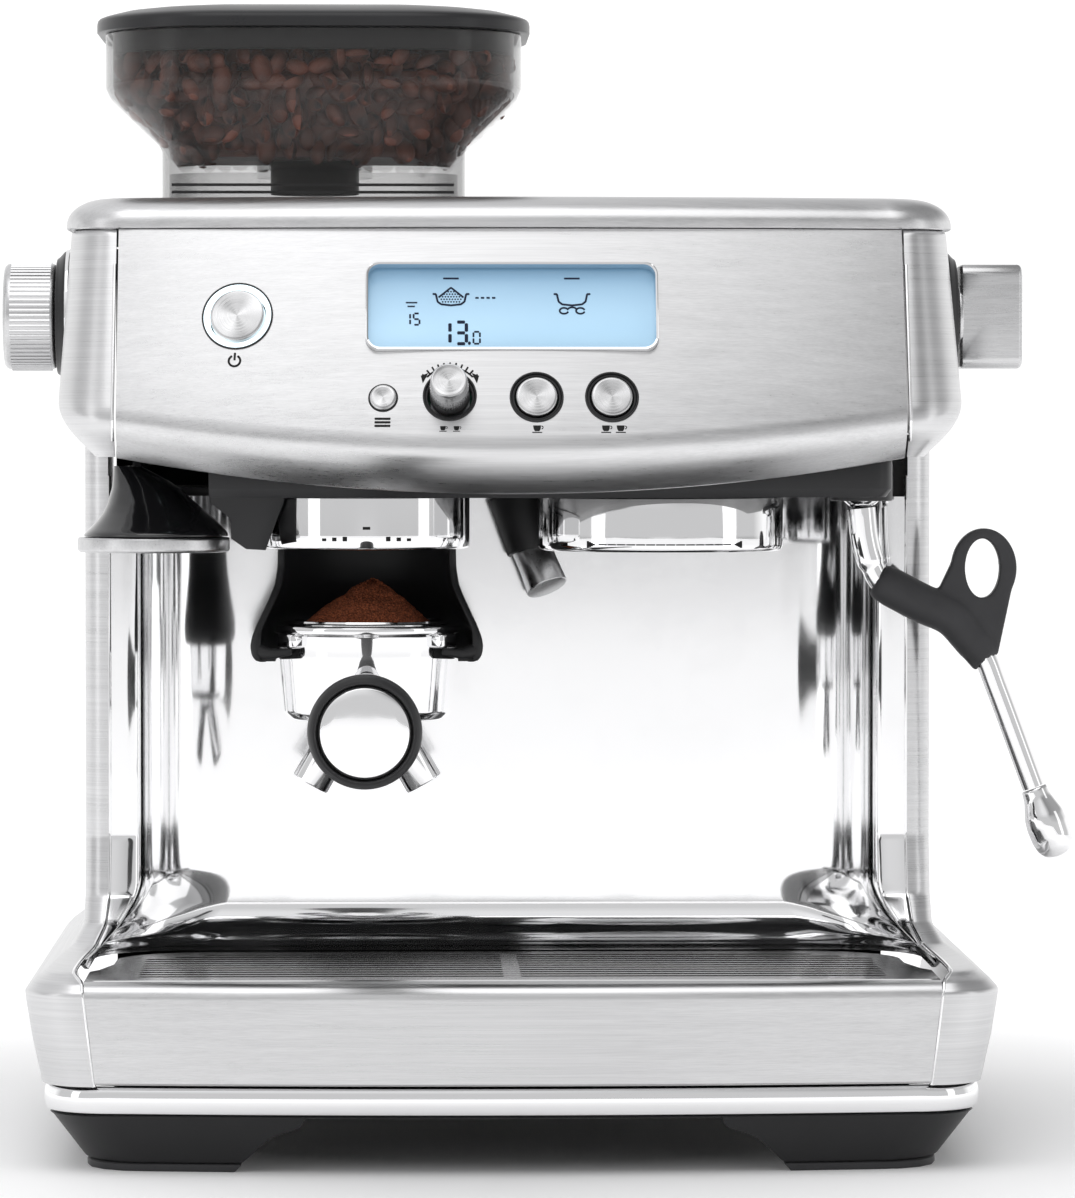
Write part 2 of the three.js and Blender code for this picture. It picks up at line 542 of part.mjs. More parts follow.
function makeCover() {
  const bottomZ = head.topZ + GAP;
  const topZ = bottomZ + cover.height;
  const outline = (inset) => planLoop({
    half: cover.half - inset, frontY: cover.frontY + inset, backY: casing.backY, bow: cover.bow,
    cornerX: 24 - inset / 2, cornerY: 24 - inset / 2, backCorner: 6,
  });
  const steps = 5;
  const loops = [atZ(outline(0), bottomZ)];
  for (let i = 0; i <= steps; i++) {
    const t = ((i / steps) * Math.PI) / 2;
    loops.push(atZ(outline(cover.round * (1 - Math.cos(t))), bottomZ + 1.5 + (cover.height - 1.5) * Math.sin(t)));
  }
  const inside = loft([atZ(outline(SHEET + 1), bottomZ - 1), atZ(outline(SHEET + 6), topZ - 2 * SHEET)]);
  const mouth = post(hopper.x, hopper.y, bottomZ - 1, topZ + 1, gearbox.chamber + GAP, gearbox.chamber + GAP, 24);
  const plate = box(24, 136, -96, 96, topZ - cover.plateDepth, topZ + 1);
  piece("top_cover", without(solid(loft(loops)), inside, mouth, plate), brushed);
}

// ---- Bean hopper ------------------------------------------------------------------------------------

function makeHopper() {
  const ring = (half, corner, z) => atZ(squareLoop(hopper.x, hopper.y, half, corner), z);
  const { wall, neckHalf, half, neckCorner, corner } = hopper;
  const outer = loft([ring(neckHalf, neckCorner, coverTopZ + GAP), ring(neckHalf, neckCorner, hopperZ.neck),
    ring(half, corner, hopperZ.shoulder), ring(half, corner, hopperZ.top)]);
  const inner = loft([ring(neckHalf - wall - 4, neckCorner - wall, hopperZ.floor + wall),
    ring(neckHalf - wall, neckCorner - wall, hopperZ.neck + 1),
    ring(half - wall, corner - wall, hopperZ.shoulder), ring(half - wall, corner - wall, hopperZ.top + 1)]);
  const skirt = loft([ring(neckHalf - wall, neckCorner - wall, coverTopZ - 1),
    ring(neckHalf - wall, neckCorner - wall, hopperZ.floor)]);
  const drop = post(hopper.x, hopper.y, hopperZ.floor - 1, hopperZ.floor + wall + 1, throat.radius);
  piece("hopper_bowl", without(solid(outer), inner, skirt, drop), smoked);

  const edgeZ = hopperZ.top + GAP;
  const lidHalf = half + lid.overhang;
  const dome = [[0, 0], [0, lid.edge], [10, lid.edge + 2.6], [30, lid.edge + 5], [55, lid.dome]];
  const plate = loft(dome.map(([inset, up]) => ring(lidHalf - inset, Math.max(corner + lid.overhang - inset, 8),
    edgeZ + up)));
  const plug = half - wall - 0.6;
  const skirtOuter = loft([ring(plug, corner - wall - 0.6, edgeZ - lid.skirt), ring(plug, corner - wall - 0.6,
    edgeZ + 1)]);
  const skirtInner = loft([ring(plug - wall, corner - 2 * wall, edgeZ - lid.skirt - 1),
    ring(plug - wall, corner - 2 * wall, edgeZ)]);
  piece("hopper_lid", without(joined(plate, skirtOuter), skirtInner), black);

  const lockZ = hopperZ.floor + wall + GAP;
  const dialDisc = turned([[0, lockZ], [lock.radius, lockZ], [lock.radius, lockZ + 3], [0, lockZ + 3]], 24);
  dialDisc.translate(hopper.x, hopper.y, 0);
  const bar = box(hopper.x - lock.radius + 2, hopper.x + lock.radius - 2, hopper.y - lock.bar / 2,
    hopper.y + lock.bar / 2, lockZ + 2, lockZ + lock.height);
  const stub = post(hopper.x, hopper.y, hopperZ.floor - 6, lockZ + 1, throat.radius - 5);
  piece("hopper_lock", joined(dialDisc, bar, stub), black);
}

// ---- Grinder ----------------------------------------------------------------------------------------

function makeGrinder() {
  const { chamber, bottomZ, plateTopZ, halfX, frontY, backY } = gearbox;
  const topZ = coverTopZ - 0.6;
  const bendAt = V3(dose.x, dose.y, chute.bendZ);
  const wallPoint = V3(hopper.x + 6, hopper.y - chamber + 9, plateTopZ + 22);
  const bodyParts = joined(
    box(hopper.x - halfX, hopper.x + halfX, frontY, backY, bottomZ, plateTopZ),
    post(hopper.x, hopper.y, plateTopZ - 1, topZ, chamber, chamber, 24),
    post(dose.x, dose.y, dose.shroudZ, chute.bendZ, chute.radius, chute.radius, 12),
    new THREE.SphereGeometry(chute.radius, 12, 6).translate(...bendAt.toArray()),
    rod(bendAt, wallPoint, chute.radius - 0.4),
  );
  const innerWall = wallPoint.clone().add(V3(0, 6, 3));
  piece("grinder_gearbox", without(bodyParts,
    post(hopper.x, hopper.y, burr.z - 18, topZ + 1, burr.bore, burr.bore, 24),
    post(hopper.x, hopper.y, bottomZ - 1, topZ, burr.shaft + 0.6, burr.shaft + 0.6, 12),
    post(dose.x, dose.y, dose.shroudZ - 1, chute.bendZ, chute.bore, chute.bore, 12),
    new THREE.SphereGeometry(chute.bore, 12, 6).translate(...bendAt.toArray()),
    rod(bendAt, innerWall, chute.bore - 0.4),
  ), aluminium);

  piece("grinder_motor", turned([[0, 0], [8, 0], [8, 4], [motor.radius, 4], [motor.radius, motor.length - 6],
    [motor.radius - 6, motor.length], [0, motor.length]]).translate(hopper.x, motor.y,
    bottomZ - GAP - motor.length), steel);

  piece("upper_burr", turned(closed([[burr.inner + 2, burr.z], [burr.outer, burr.z],
    [burr.outer, burr.z + burr.height], [burr.inner - 3, burr.z + burr.height]])).translate(hopper.x, hopper.y, 0),
  steel);
  const { shaft, z, height, inner } = burr;
  piece("lower_burr", turned([[0, bottomZ + 1], [shaft, bottomZ + 1], [shaft, z - 10], [inner + 1, z - 4],
    [inner + 1, z - 1], [inner - 6, z + height - 2], [6, z + height + 2], [0, z + height + 2]])
    .translate(hopper.x, hopper.y, 0), steel);
}

// ---- Dosing cradle and shroud -----------------------------------------------------------------------

dose.shroudZ = under.z - GAP - dose.shroudHeight;

// A U in plan, open to the front: a half ring behind and two straight arms.
function forkLoop(outer, inner, arm, steps = 8) {
  const arc = (radius) => {
    const points = [V2(radius, -arm)];
    for (let i = 0; i <= steps; i++) {
      const t = (i / steps) * Math.PI;
      points.push(V2(radius * Math.cos(t), radius * Math.sin(t)));
    }
    return [...points, V2(-radius, -arm)];
  };
  return [...arc(outer), ...arc(inner).reverse()];
}

function makeDosing() {
  const radius = dose.shroudRadius;
  piece("grinder_shroud", turned(closed([
    [radius - dose.shroudWall, dose.shroudZ], [radius - 1, dose.shroudZ], [radius, dose.shroudZ + 1],
    [radius, under.z - GAP], [radius - dose.shroudWall, under.z - GAP],
  ]), 24).translate(dose.x, dose.y, 0), chrome);

  const { bottomZ, armLength: arm, bore, half } = cradle;
  const railTopZ = filter.rimZ - filter.earHeight - GAP;
  const levels = [[bottomZ, half - 2.6, arm - 3], [bottomZ + 1.8, half - 0.6, arm], [bottomZ + 5.5, half, arm],
    [bottomZ + 9.5, half - 0.7, arm], [bottomZ + 17.5, half - 4.6, arm - 5], [bottomZ + 26, half - 8.4, 10],
    [dose.shroudZ + 4, dose.shroudRadius - dose.shroudWall - cradle.neckGap, 5]];
  const shell = loft(levels.map(([z, outer, reach]) =>
    atZ(forkLoop(outer, Math.min(bore, outer - PLASTIC), reach), z)));
  const rail = (side) => box(Math.min(side * cradle.railInner, side * (bore + 1)),
    Math.max(side * cradle.railInner, side * (bore + 1)), -arm, 2, bottomZ, railTopZ);
  const top = joined(shell, rail(1), rail(-1));
  piece("grind_cradle", top.translate([dose.x, dose.y, 0]), black);
}

// ---- Portafilter with its basket --------------------------------------------------------------------

function makePortafilter() {
  const { rimRadius, rimZ, rimHeight, bodyRadius, footRadius, bore, bottomZ, earHeight } = filter;
  const topZ = rimZ + rimHeight;
  const cup = turned(closed([
    [5, bottomZ], [footRadius - 2.5, bottomZ], [footRadius, bottomZ + 3], [bodyRadius, rimZ - 8],
    [bodyRadius, rimZ], [rimRadius, rimZ], [rimRadius, topZ - 0.8], [rimRadius - 0.8, topZ], [bore, topZ],
    [bore, bottomZ + 4],
    [5, bottomZ + 3],
  ]), 24);
  const ear = (degrees) => box(bodyRadius - 2, filter.ear, -4.5, 4.5, rimZ - earHeight, rimZ + 0.5)
    .rotateZ(THREE.MathUtils.degToRad(degrees));
  const socketZ = grip.startZ;
  const socket = rod(V3(0, -bodyRadius + 1.6, socketZ), V3(0, -bodyRadius - 9, socketZ - 0.8), grip.neck);
  const hollow = post(0, 0, bottomZ + 4, topZ + 1, bore, bore, 24);
  const body = without(joined(cup, ear(-145), ear(-35), ear(90), socket), hollow);
  piece("portafilter_body", body.translate([dose.x, dose.y, 0]), chrome);

  const start = V3(dose.x, dose.y - bodyRadius - 9 - GAP, socketZ - 0.8);
  const end = start.clone().add(V3(0, -grip.length, -grip.drop));
  const turn = new THREE.Quaternion().setFromUnitVectors(V3(0, 0, 1), end.clone().sub(start).normalize());
  const length = start.distanceTo(end);
  const { endRadius, capRadius, neck } = grip;
  const handle = turned([[0, 0], [neck + 0.5, 0], [neck + 2, 6], [neck + 3.4, length * 0.3],
    [neck + 6.5, length * 0.62], [endRadius - 1, length - 16], [endRadius, length - 7],
    [endRadius - 0.6, length - 1.6], [endRadius - 2.4, length], [capRadius + GAP, length - 0.6],
    [capRadius + GAP, length - 5], [0, length - 5]], 20);
  piece("portafilter_handle", handle.applyQuaternion(turn).translate(...start.toArray()), black);
  const cap = turned([[0, length - 5 + GAP], [capRadius, length - 5 + GAP], [capRadius, length - 1.4],
    [capRadius * 0.6, length - 0.4], [0, length]], 16);
  piece("handle_cap", cap.applyQuaternion(turn).translate(...start.toArray()), chrome);

  const hubTop = bottomZ - GAP;
  const from = (side) => V3(side * spout.start, 0, hubTop);
  const outlet = (side) => V3(side * spout.reach, 0, spout.outletZ);
  const way = (side) => outlet(side).sub(from(side)).normalize();
  const spouts = joined(
    post(0, 0, hubTop - 5, hubTop, spout.hub - 2, spout.hub, 16),
    rod(from(1), outlet(1), spout.tube, spout.tube, 16), rod(from(-1), outlet(-1), spout.tube, spout.tube, 16),
  );
  const drilled = (side) => rod(outlet(side).addScaledVector(way(side), -14),
    outlet(side).addScaledVector(way(side), 1), spout.bore, spout.bore, 12);
  const bores = without(spouts, box(-30, 30, -20, 20, hubTop, hubTop + 20),
    post(0, 0, hubTop - 9, hubTop + 1, 4, 4, 8), drilled(1), drilled(-1));
  piece("portafilter_spout", bores.translate([dose.x, dose.y, 0]), chrome);

  const rimTop = topZ + GAP;
  const { radius, wall, rim, depth, rimHeight: lipHeight } = basket;
  piece("filter_basket", turned(closed([
    [0.8, topZ - depth], [radius - 2, topZ - depth], [radius, topZ - depth + 3], [radius, rimTop], [rim, rimTop],
    [rim, rimTop + lipHeight], [radius - wall, rimTop + lipHeight], [radius - wall, topZ - depth + wall + 2.4],
    [radius - 2.4, topZ - depth + wall], [0.8, topZ - depth + wall],
  ]), 20).translate(dose.x, dose.y, 0), polished);
}

// ---- Group head, heater, pump and hot water spout ----------------------------------------------------

function makeBrewing() {
  const topZ = under.z - GAP;
  const bottomZ = topZ - group.height;
  const ringParts = joined(turned(closed([
    [group.bore, bottomZ + 1], [group.bore + 1, bottomZ], [group.radius - 2.4, bottomZ],
    [group.radius, bottomZ + 2.4], [group.radius, topZ], [12, topZ], [12, topZ - 4.6], [group.bore, topZ - 4.6],
  ]), 24), ...[-90, 30, 150].map((degrees) => box(group.bore - 3, group.bore + 2, -9, 9, bottomZ + 1.2,
    bottomZ + 4.4).rotateZ(THREE.MathUtils.degToRad(degrees))));
  piece("group_head", ringParts.translate([group.x, group.y, 0]), chrome);
  const screenTop = topZ - 4.6 - GAP;
  piece("shower_screen", turned([[0, screenTop - 3.2], [group.screen, screenTop - 3.2],
    [group.screen, screenTop - 1], [group.screen - 2, screenTop], [0, screenTop]]).translate(group.x, group.y, 0),
  steel);
  const heaterZ = under.z + under.height + 1.5;
  piece("heater_block", turned([[0, screenTop + GAP], [11, screenTop + GAP], [11, heaterZ], [heater.radius, heaterZ],
    [heater.radius, heaterZ + heater.height - 6], [heater.radius - 8, heaterZ + heater.height],
    [0, heaterZ + heater.height]]).translate(group.x, group.y, 0), aluminium);

  const along = turned([[0, -pump.nose - 8], [pump.nose, -pump.nose - 8], [pump.nose, 0], [pump.radius, 0],
    [pump.radius, pump.length * 0.55], [pump.radius - 6, pump.length * 0.55], [pump.radius - 8, pump.length],
    [0, pump.length]], 20).rotateY(Math.PI / 2);
  piece("pump", along.translate(pump.x - pump.length / 2, pump.y, pump.z), aluminium);

  const from = V3(water.x, water.y, topZ);
  const to = from.clone().add(V3(3, -4, -water.length));
  const tipEnd = to.clone().add(V3(5.5, -5.5, -water.tipLength + 2));
  piece("hot_water_spout", without(joined(rod(from, to, water.topRadius, water.radius, 20),
    rod(to.clone().add(V3(-1, 1, 3)), tipEnd, water.tipRadius, water.tipRadius, 18)),
  box(water.x - 30, water.x + 30, water.y - 30, water.y + 30, topZ, topZ + 20),
  rod(to, tipEnd.clone().add(V3(2, -2, -3)), water.tipRadius - 2, water.tipRadius - 2, 14)), black);
}

// ---- Tamper -----------------------------------------------------------------------------------------

// The black handle leans towards the column as it rises: [height above the disc, radius, sideways offset].
const tamperHandle = [[0, 25.2, 0.8], [1.5, 24.6, 1], [5.6, 20.6, 1], [11, 15.8, -0.5], [16.8, 11.8, -2.7],
  [21.5, 8, -6], [24.6, 4.8, -9]];

function circleLoop(x, y, radius, sides = 20) {
  return Array.from({ length: sides }, (_, i) => {
    const angle = (i / sides) * Math.PI * 2;
    return V2(x + radius * Math.cos(angle), y + radius * Math.sin(angle));
  });
}

function makeTamper() {
  const { x, y, radius, z, discHeight } = tamper;
  piece("tamper_disc", turned([[0, z], [radius - 0.8, z], [radius, z + 0.8], [radius, z + discHeight],
    [0, z + discHeight]]).translate(x, y, 0), satin);
  const low = z + discHeight + GAP;
  piece("tamper_handle", loft(tamperHandle.map(([up, r, aside]) =>
    atZ(circleLoop(x + aside, y, r * ((radius - 1.2) / tamperHandle[0][1])), low + up))), gloss);
}

// ---- Steam wand -------------------------------------------------------------------------------------

// The wand's own line: down out of the ball, out to the side through the grip, then down to the tip.
const wandLine = [V3(0, 0, 226), V3(1.2, 0, 214), V3(3.6, 0, 205), V3(7.2, 0, 198.5), V3(21.5, 0, 191),
  V3(31.7, 0, 186.4), V3(37.6, 0, 179.8), V3(43.4, 0, 172.4), V3(48, 0, 161), V3(60.8, 0, 126.5)]
  .map((p) => p.add(V3(wand.x, wand.y, 0)));
const wandEnd = wandLine.at(-1);
const wandAim = wandEnd.clone().sub(wandLine.at(-2)).normalize();

function alongCurve(points, radius, steps, sides = 10) {
  const ring = new THREE.Shape();
  ring.absarc(0, 0, radius, 0, Math.PI * 2);
  const path = new THREE.CatmullRomCurve3(points, false, "centripetal");
  return new THREE.ExtrudeGeometry(ring, { extrudePath: path, steps, curveSegments: sides / 2, bevelEnabled: false });
}

function makeWand() {
  const socket = [[0, wand.ballZ - 7.4], [4.8, wand.ballZ - 7.4], [wand.ball - 1, wand.ballZ - 4],
    [wand.ball, wand.ballZ], [wand.ball - 1, wand.ballZ + 4], [4, wand.ballZ + 7], [0, wand.ballZ + 7]];
  piece("wand_ball", turned(socket, 20).translate(wand.x, wand.y, 0), steel);
  const { ball, ballZ, collar } = wand;
  piece("wand_collar", turned(closed([[ball + 0.5, ballZ - 5], [ball + collar, ballZ - 5],
    [ball + collar, ballZ + 8], [ball + 0.5, ballZ + 8]]), 20).translate(wand.x, wand.y, 0), black);
  const tube = alongCurve([V3(wand.x, wand.y, wand.ballZ - 7.4 - 3 * GAP), ...wandLine.slice(1)], wand.tube, 20);
  piece("wand_tube", tube, chrome);

  const sleeve = wandLine.slice(3, 8);
  const barrel = alongCurve(sleeve, wand.tube + 2.9, 9, 12);
  const bore = alongCurve(wandLine.slice(1), wand.tube + 2 * GAP, 20);
  const side = 10;
  const outline = new THREE.Shape();
  outline.absellipse(loop.x, loop.z, loop.halfX, loop.halfZ, 0, Math.PI * 2, false, 0);
  const slab = (shape) => new THREE.ExtrudeGeometry(shape, { depth: loop.thick, bevelEnabled: false,
    curveSegments: side }).rotateX(Math.PI / 2).translate(0, wand.y + loop.thick / 2, 0);
  const low = wandLine[6];
  const foot = wandLine[7];
  const web = new THREE.Shape([V2(low.x - 14, low.z + 8), V2(foot.x - 4, foot.z - 5), V2(foot.x + 4.5, foot.z - 1),
    V2(loop.x + loop.halfX - 0.6, loop.z - 3), V2(loop.x - loop.halfX + 2, loop.z + 6)]);
  const hole = new THREE.Shape();
  hole.absellipse(loop.x - 0.6, loop.z, loop.holeX, loop.holeZ, 0, Math.PI * 2, false, 0);
  const through = new THREE.ExtrudeGeometry(hole, { depth: loop.thick * 3, bevelEnabled: false,
    curveSegments: side }).rotateX(Math.PI / 2).translate(0, wand.y + loop.thick * 1.5, 0);
  piece("wand_grip", without(joined(barrel, slab(outline), slab(web)), through, bore), rubber);

  const turn = new THREE.Quaternion().setFromUnitVectors(V3(0, 0, 1), wandAim);
  const { tip, tipLength, lowerTube } = wand;
  const nozzle = turned([[0, GAP], [lowerTube + 0.6, GAP], [tip - 0.4, 8], [tip, 13], [tip - 0.2, tipLength - 6],
    [tip * 0.7, tipLength - 1.6], [0, tipLength]], 16);
  piece("wand_tip", nozzle.applyQuaternion(turn).translate(...wandEnd.toArray()), chrome);
}

// ---- Side dials -------------------------------------------------------------------------------------

// Lays a shape turned about +Z along +X or -X at the dials' place on the head's side.
function onSide(geometry, side) {
  return geometry.rotateY((side * Math.PI) / 2).translate(0, sideDial.y, sideDial.z);
}

function makeSideDials() {
  const face = cheekHalf(sideDial.z - sideDial.flange) + GAP;
  const flangeEnd = face + sideDial.flangeHeight;
  const flange = () => turned(closed([[6, face], [sideDial.flange, face], [sideDial.flange - 1, face + 2],
    [sideDial.knob + 1, flangeEnd], [6, flangeEnd]]), 20);
  piece("grind_dial_flange", onSide(flange(), -1), chrome);
  piece("steam_dial_flange", onSide(flange(), 1), chrome);
  const start = flangeEnd + GAP;
  const inward = face - 14;
  const { knob, knobEnd, shaft } = sideDial;
  piece("grind_size_dial", onSide(turned([[0, inward], [shaft, inward], [shaft, start], [knob, start],
    [knob, knobEnd - 2], [knob - 1.4, knobEnd], [0, knobEnd]], 24), -1), satin);
  const bar = box(-lever.height / 2, lever.height / 2, -lever.thick / 2, lever.thick / 2, start + 1, lever.end);
  piece("steam_lever", geometryOf(joined(onSide(turned([[0, inward], [shaft, inward], [shaft, start],
    [lever.thick / 2 + 3, start], [lever.thick / 2 + 3, start + 2], [0, start + 2]], 16), 1),
  onSide(bar, 1))), satin);
}

// ---- Drip tray and grid -------------------------------------------------------------------------------

function makeDripTray() {
  const bottomZ = casing.bottomZ + GAP;
  const topZ = grid.topZ - grid.thick - GAP;
  const frontY = base.frontY + tray.frontThick + tray.bow + GAP;
  const outline = (inset) => planLoop({
    half: tray.half - inset, frontY: frontY + inset, backY: grid.backY - 3 - inset, cornerX: 12 - inset,
    backCorner: 26 - inset, steps: 3,
  });
  const tub = without(solid(loft([atZ(outline(2), bottomZ), atZ(outline(0), topZ)])),
    loft([atZ(outline(2 + tray.wall), bottomZ + tray.wall), atZ(outline(tray.wall), topZ + 1)]));
  piece("drip_tray", tub, black);

  const stations = 10;
  const loops = [];
  for (let i = 0; i <= stations; i++) {
    const t = lerp(-1, 1, i / stations);
    const y = base.frontY - 3 + tray.bow * t * t;
    const bottomX = (seam.trayBottom - seam.slit) * t;
    const topX = (seam.trayTop - seam.slit) * t;
    const back = frontY - GAP;
    loops.push([V3(bottomX, back, bottomZ), V3(bottomX, y + 0.8, bottomZ), V3(lerp(bottomX, topX, 0.5), y, 45),
      V3(topX, y + 0.4, 59), V3(topX, y + 1.8, 63), V3(topX, y + 5, 65), V3(topX, grid.frontY - GAP, 65.3),
      V3(topX, grid.frontY - GAP, 58), V3(lerp(bottomX, topX, 0.5), back, 45)]);
  }
  piece("drip_tray_front", loft(loops, (p) => V2(p.y, p.z)), brushed);

  const plate = [V2(0, grid.frontY), V2(grid.frontHalf - 3, grid.frontY), V2(grid.frontHalf, grid.frontY + 3),
    V2(grid.frontHalf, -136), V2(grid.half + 5, -126), V2(grid.half + 3, -117), V2(grid.half, -96)];
  const corner = 34;
  for (let i = 1; i <= 5; i++) {
    const t = ((i / 5) * Math.PI) / 2;
    plate.push(V2(grid.half - corner * (1 - Math.cos(t)), grid.backY - corner * (1 - Math.sin(t))));
  }
  const whole = [...plate, ...plate.slice(1).map((p) => V2(-p.x, p.y)).reverse()];
  const slots = [];
  const pitch = (grid.backY - grid.frontY - 20) / grid.slots;
  for (let i = 0; i < grid.slots; i++) {
    const y = grid.frontY + 12 + pitch * i;
    const reach = Math.min(128, 128 - Math.max(0, i - grid.slots + 3) * 10);
    for (const side of [-1, 1]) {
      const [x0, x1] = side < 0 ? [-reach, -3] : [3, reach];
      slots.push(box(x0, x1, y, y + 4, 0, 100));
    }
  }
  piece("drip_grid", without(solid(loft([atZ(whole, grid.topZ - grid.thick), atZ(whole, grid.topZ)])), ...slots),
    satin);
}

// ---- Water tank ---------------------------------------------------------------------------------------

function makeTank() {
  const frontY = casing.backY + 1.2;
  const outline = (inset) => planLoop({
    half: tank.half - inset, frontY: frontY + inset, backY: tank.backY - inset, cornerX: 6,
    backCorner: tank.corner - inset, steps: 3,
  });
  piece("water_tank", without(solid(loft([atZ(outline(2), tank.bottomZ), atZ(outline(0), tank.bottomZ + 8),
    atZ(outline(0), tank.topZ)])), loft([atZ(outline(2 + tank.wall), tank.bottomZ + tank.wall),
    atZ(outline(tank.wall), tank.bottomZ + 10), atZ(outline(tank.wall), tank.topZ + 1)])), smoked);

  const lidZ = tank.topZ + GAP;
  const lidTop = lidZ + tankLid.height;
  const plate = loft([atZ(outline(0.5), lidZ), atZ(outline(0), lidZ + 2), atZ(outline(0), lidTop - 3),
    atZ(outline(4), lidTop)]);
  const middle = (frontY + tank.backY) / 2;
  const recess = box(-44, 44, middle - 12, middle + 12, lidTop - 7, lidTop + 1);
  const bar = box(-46, 46, middle - 4, middle + 4, lidTop - 4, lidTop - 0.5);
  piece("tank_lid", without(solid(plate), recess).add(solid(bar)), black);
}

makeBase();
makeSidePanels();
makeBay();
makeRear();
makeFascia();
makeControls();
makeCheeks();
makeUnderside();
makeCover();
makeHopper();
makeGrinder();
makeDosing();
makePortafilter();
makeBrewing();
makeTamper();
makeWand();
makeSideDials();
makeDripTray();
makeTank();

const extent = new THREE.Box3().setFromObject(machine);
const middle = extent.getCenter(V3(0, 0, 0));
machine.position.set(-middle.x, -middle.y, -extent.min.z);

export default machine;
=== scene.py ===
"""Looks of a home espresso machine, built piece by piece around its packed CAD frame."""

import math

import bmesh
import bpy
import numpy as np
from bpy.props import FloatProperty, FloatVectorProperty, IntProperty, PointerProperty
from mathutils import Matrix, Vector


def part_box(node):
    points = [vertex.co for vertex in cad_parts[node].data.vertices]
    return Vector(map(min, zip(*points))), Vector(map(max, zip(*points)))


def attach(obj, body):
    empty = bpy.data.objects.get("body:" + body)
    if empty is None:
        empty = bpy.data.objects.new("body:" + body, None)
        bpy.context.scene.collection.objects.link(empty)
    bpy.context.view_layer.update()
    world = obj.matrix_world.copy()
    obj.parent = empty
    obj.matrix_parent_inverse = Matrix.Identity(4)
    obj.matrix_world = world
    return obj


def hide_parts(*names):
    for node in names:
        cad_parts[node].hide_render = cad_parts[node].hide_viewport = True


bl_info = {
    "name": "Espresso machine",
    "version": (1, 0, 0),
    "blender": (4, 5, 0),
    "location": "3D View > Sidebar > Espresso",
    "description": "Builds the pieces, finishes and studio of a home espresso machine",
    "category": "Object",
}

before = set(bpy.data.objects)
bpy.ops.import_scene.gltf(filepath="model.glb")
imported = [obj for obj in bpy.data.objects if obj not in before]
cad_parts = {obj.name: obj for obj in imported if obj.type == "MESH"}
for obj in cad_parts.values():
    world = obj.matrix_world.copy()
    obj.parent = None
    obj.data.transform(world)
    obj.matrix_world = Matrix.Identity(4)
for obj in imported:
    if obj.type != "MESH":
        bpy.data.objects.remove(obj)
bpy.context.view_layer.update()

MM = 0.001
# The casing's own centre line and mid-depth, from the CAD's panels, in metres.
LEFT_PANEL, RIGHT_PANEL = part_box("side_panel_left"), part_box("side_panel_right")
CENTRE = Vector(((LEFT_PANEL[0].x + RIGHT_PANEL[1].x) / 2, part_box("rear_cover")[1].y - 112 * MM, 0))


# ---- Sizes and colours that a user would change ----------------------------------------------------


def colour(name, description, default):
    return FloatVectorProperty(
        name=name, description=description, default=default, size=3, min=0, max=1, subtype="COLOR"
    )


class EspressoMetal(bpy.types.PropertyGroup):
    """Colours and grain of the metal finishes."""

    steel: colour("Brushed steel", "Colour of the brushed steel casing", (0.66, 0.66, 0.665))
    mirror: colour("Polished steel", "Colour of the polished cup bay", (0.91, 0.91, 0.915))
    chrome: colour("Chrome", "Colour of the plated pieces", (0.87, 0.87, 0.875))
    satin: colour("Satin steel", "Colour of the turned buttons and knobs", (0.62, 0.62, 0.625))
    grain: FloatProperty(
        name="Grain depth", description="Strength of the brushing marks", default=0.3, min=0, max=1
    )


class EspressoPlastic(bpy.types.PropertyGroup):
    """Colours of the plastic and silicone pieces."""

    charcoal: colour("Charcoal", "Colour of the moulded plastic", (0.017, 0.017, 0.018))
    gloss: colour("Gloss black", "Colour of the tamper's handle", (0.008, 0.008, 0.009))
    silicone: colour("Silicone", "Colour of the wand's grip and the feet", (0.03, 0.03, 0.032))
    smoke: colour("Smoke", "Tint of the clear hopper and tank", (0.03, 0.028, 0.026))


class EspressoCoffee(bpy.types.PropertyGroup):
    """Beans in the hopper and ground coffee in the basket."""

    roast: colour("Roast", "Colour of the beans", (0.17, 0.05, 0.028))
    grounds: colour("Grounds", "Colour of the ground coffee", (0.40, 0.11, 0.045))
    bean_length: FloatProperty(
        name="Bean length", description="Length of one bean", default=0.0098, min=0.006, unit="LENGTH"
    )
    bean_spacing: FloatProperty(
        name="Bean spacing", description="Least distance between beans", default=0.0062, min=0.004,
        unit="LENGTH",
    )
    seed: IntProperty(name="Seed", description="Seed of the beans' places and turns", default=7)


class EspressoControls(bpy.types.PropertyGroup):
    """Display, lights and knurling of the controls."""

    sky: colour("Display, light", "Lower colour of the display", (0.42, 0.63, 0.80))
    dusk: colour("Display, deep", "Upper colour of the display", (0.11, 0.24, 0.38))
    ink: colour("Ink", "Colour of the display's symbols", (0.002, 0.008, 0.03))
    knurls: IntProperty(name="Knob ribs", description="Ribs round the grind size knob", default=64)
    dial_ribs: IntProperty(name="Dial ribs", description="Ribs round the push dial", default=44)


class EspressoStudio(bpy.types.PropertyGroup):
    """Lights and floor."""

    key: FloatProperty(name="Key light", description="Power of the overhead light in watts", default=7)
    side: FloatProperty(name="Side lights", description="Power of each side light in watts", default=1.5)
    room: FloatProperty(name="Room light", description="Strength of the surroundings", default=1.12)


GROUPS = {
    "espresso_metal": EspressoMetal,
    "espresso_plastic": EspressoPlastic,
    "espresso_coffee": EspressoCoffee,
    "espresso_controls": EspressoControls,
    "espresso_studio": EspressoStudio,
}


# ---- Node trees ------------------------------------------------------------------------------------


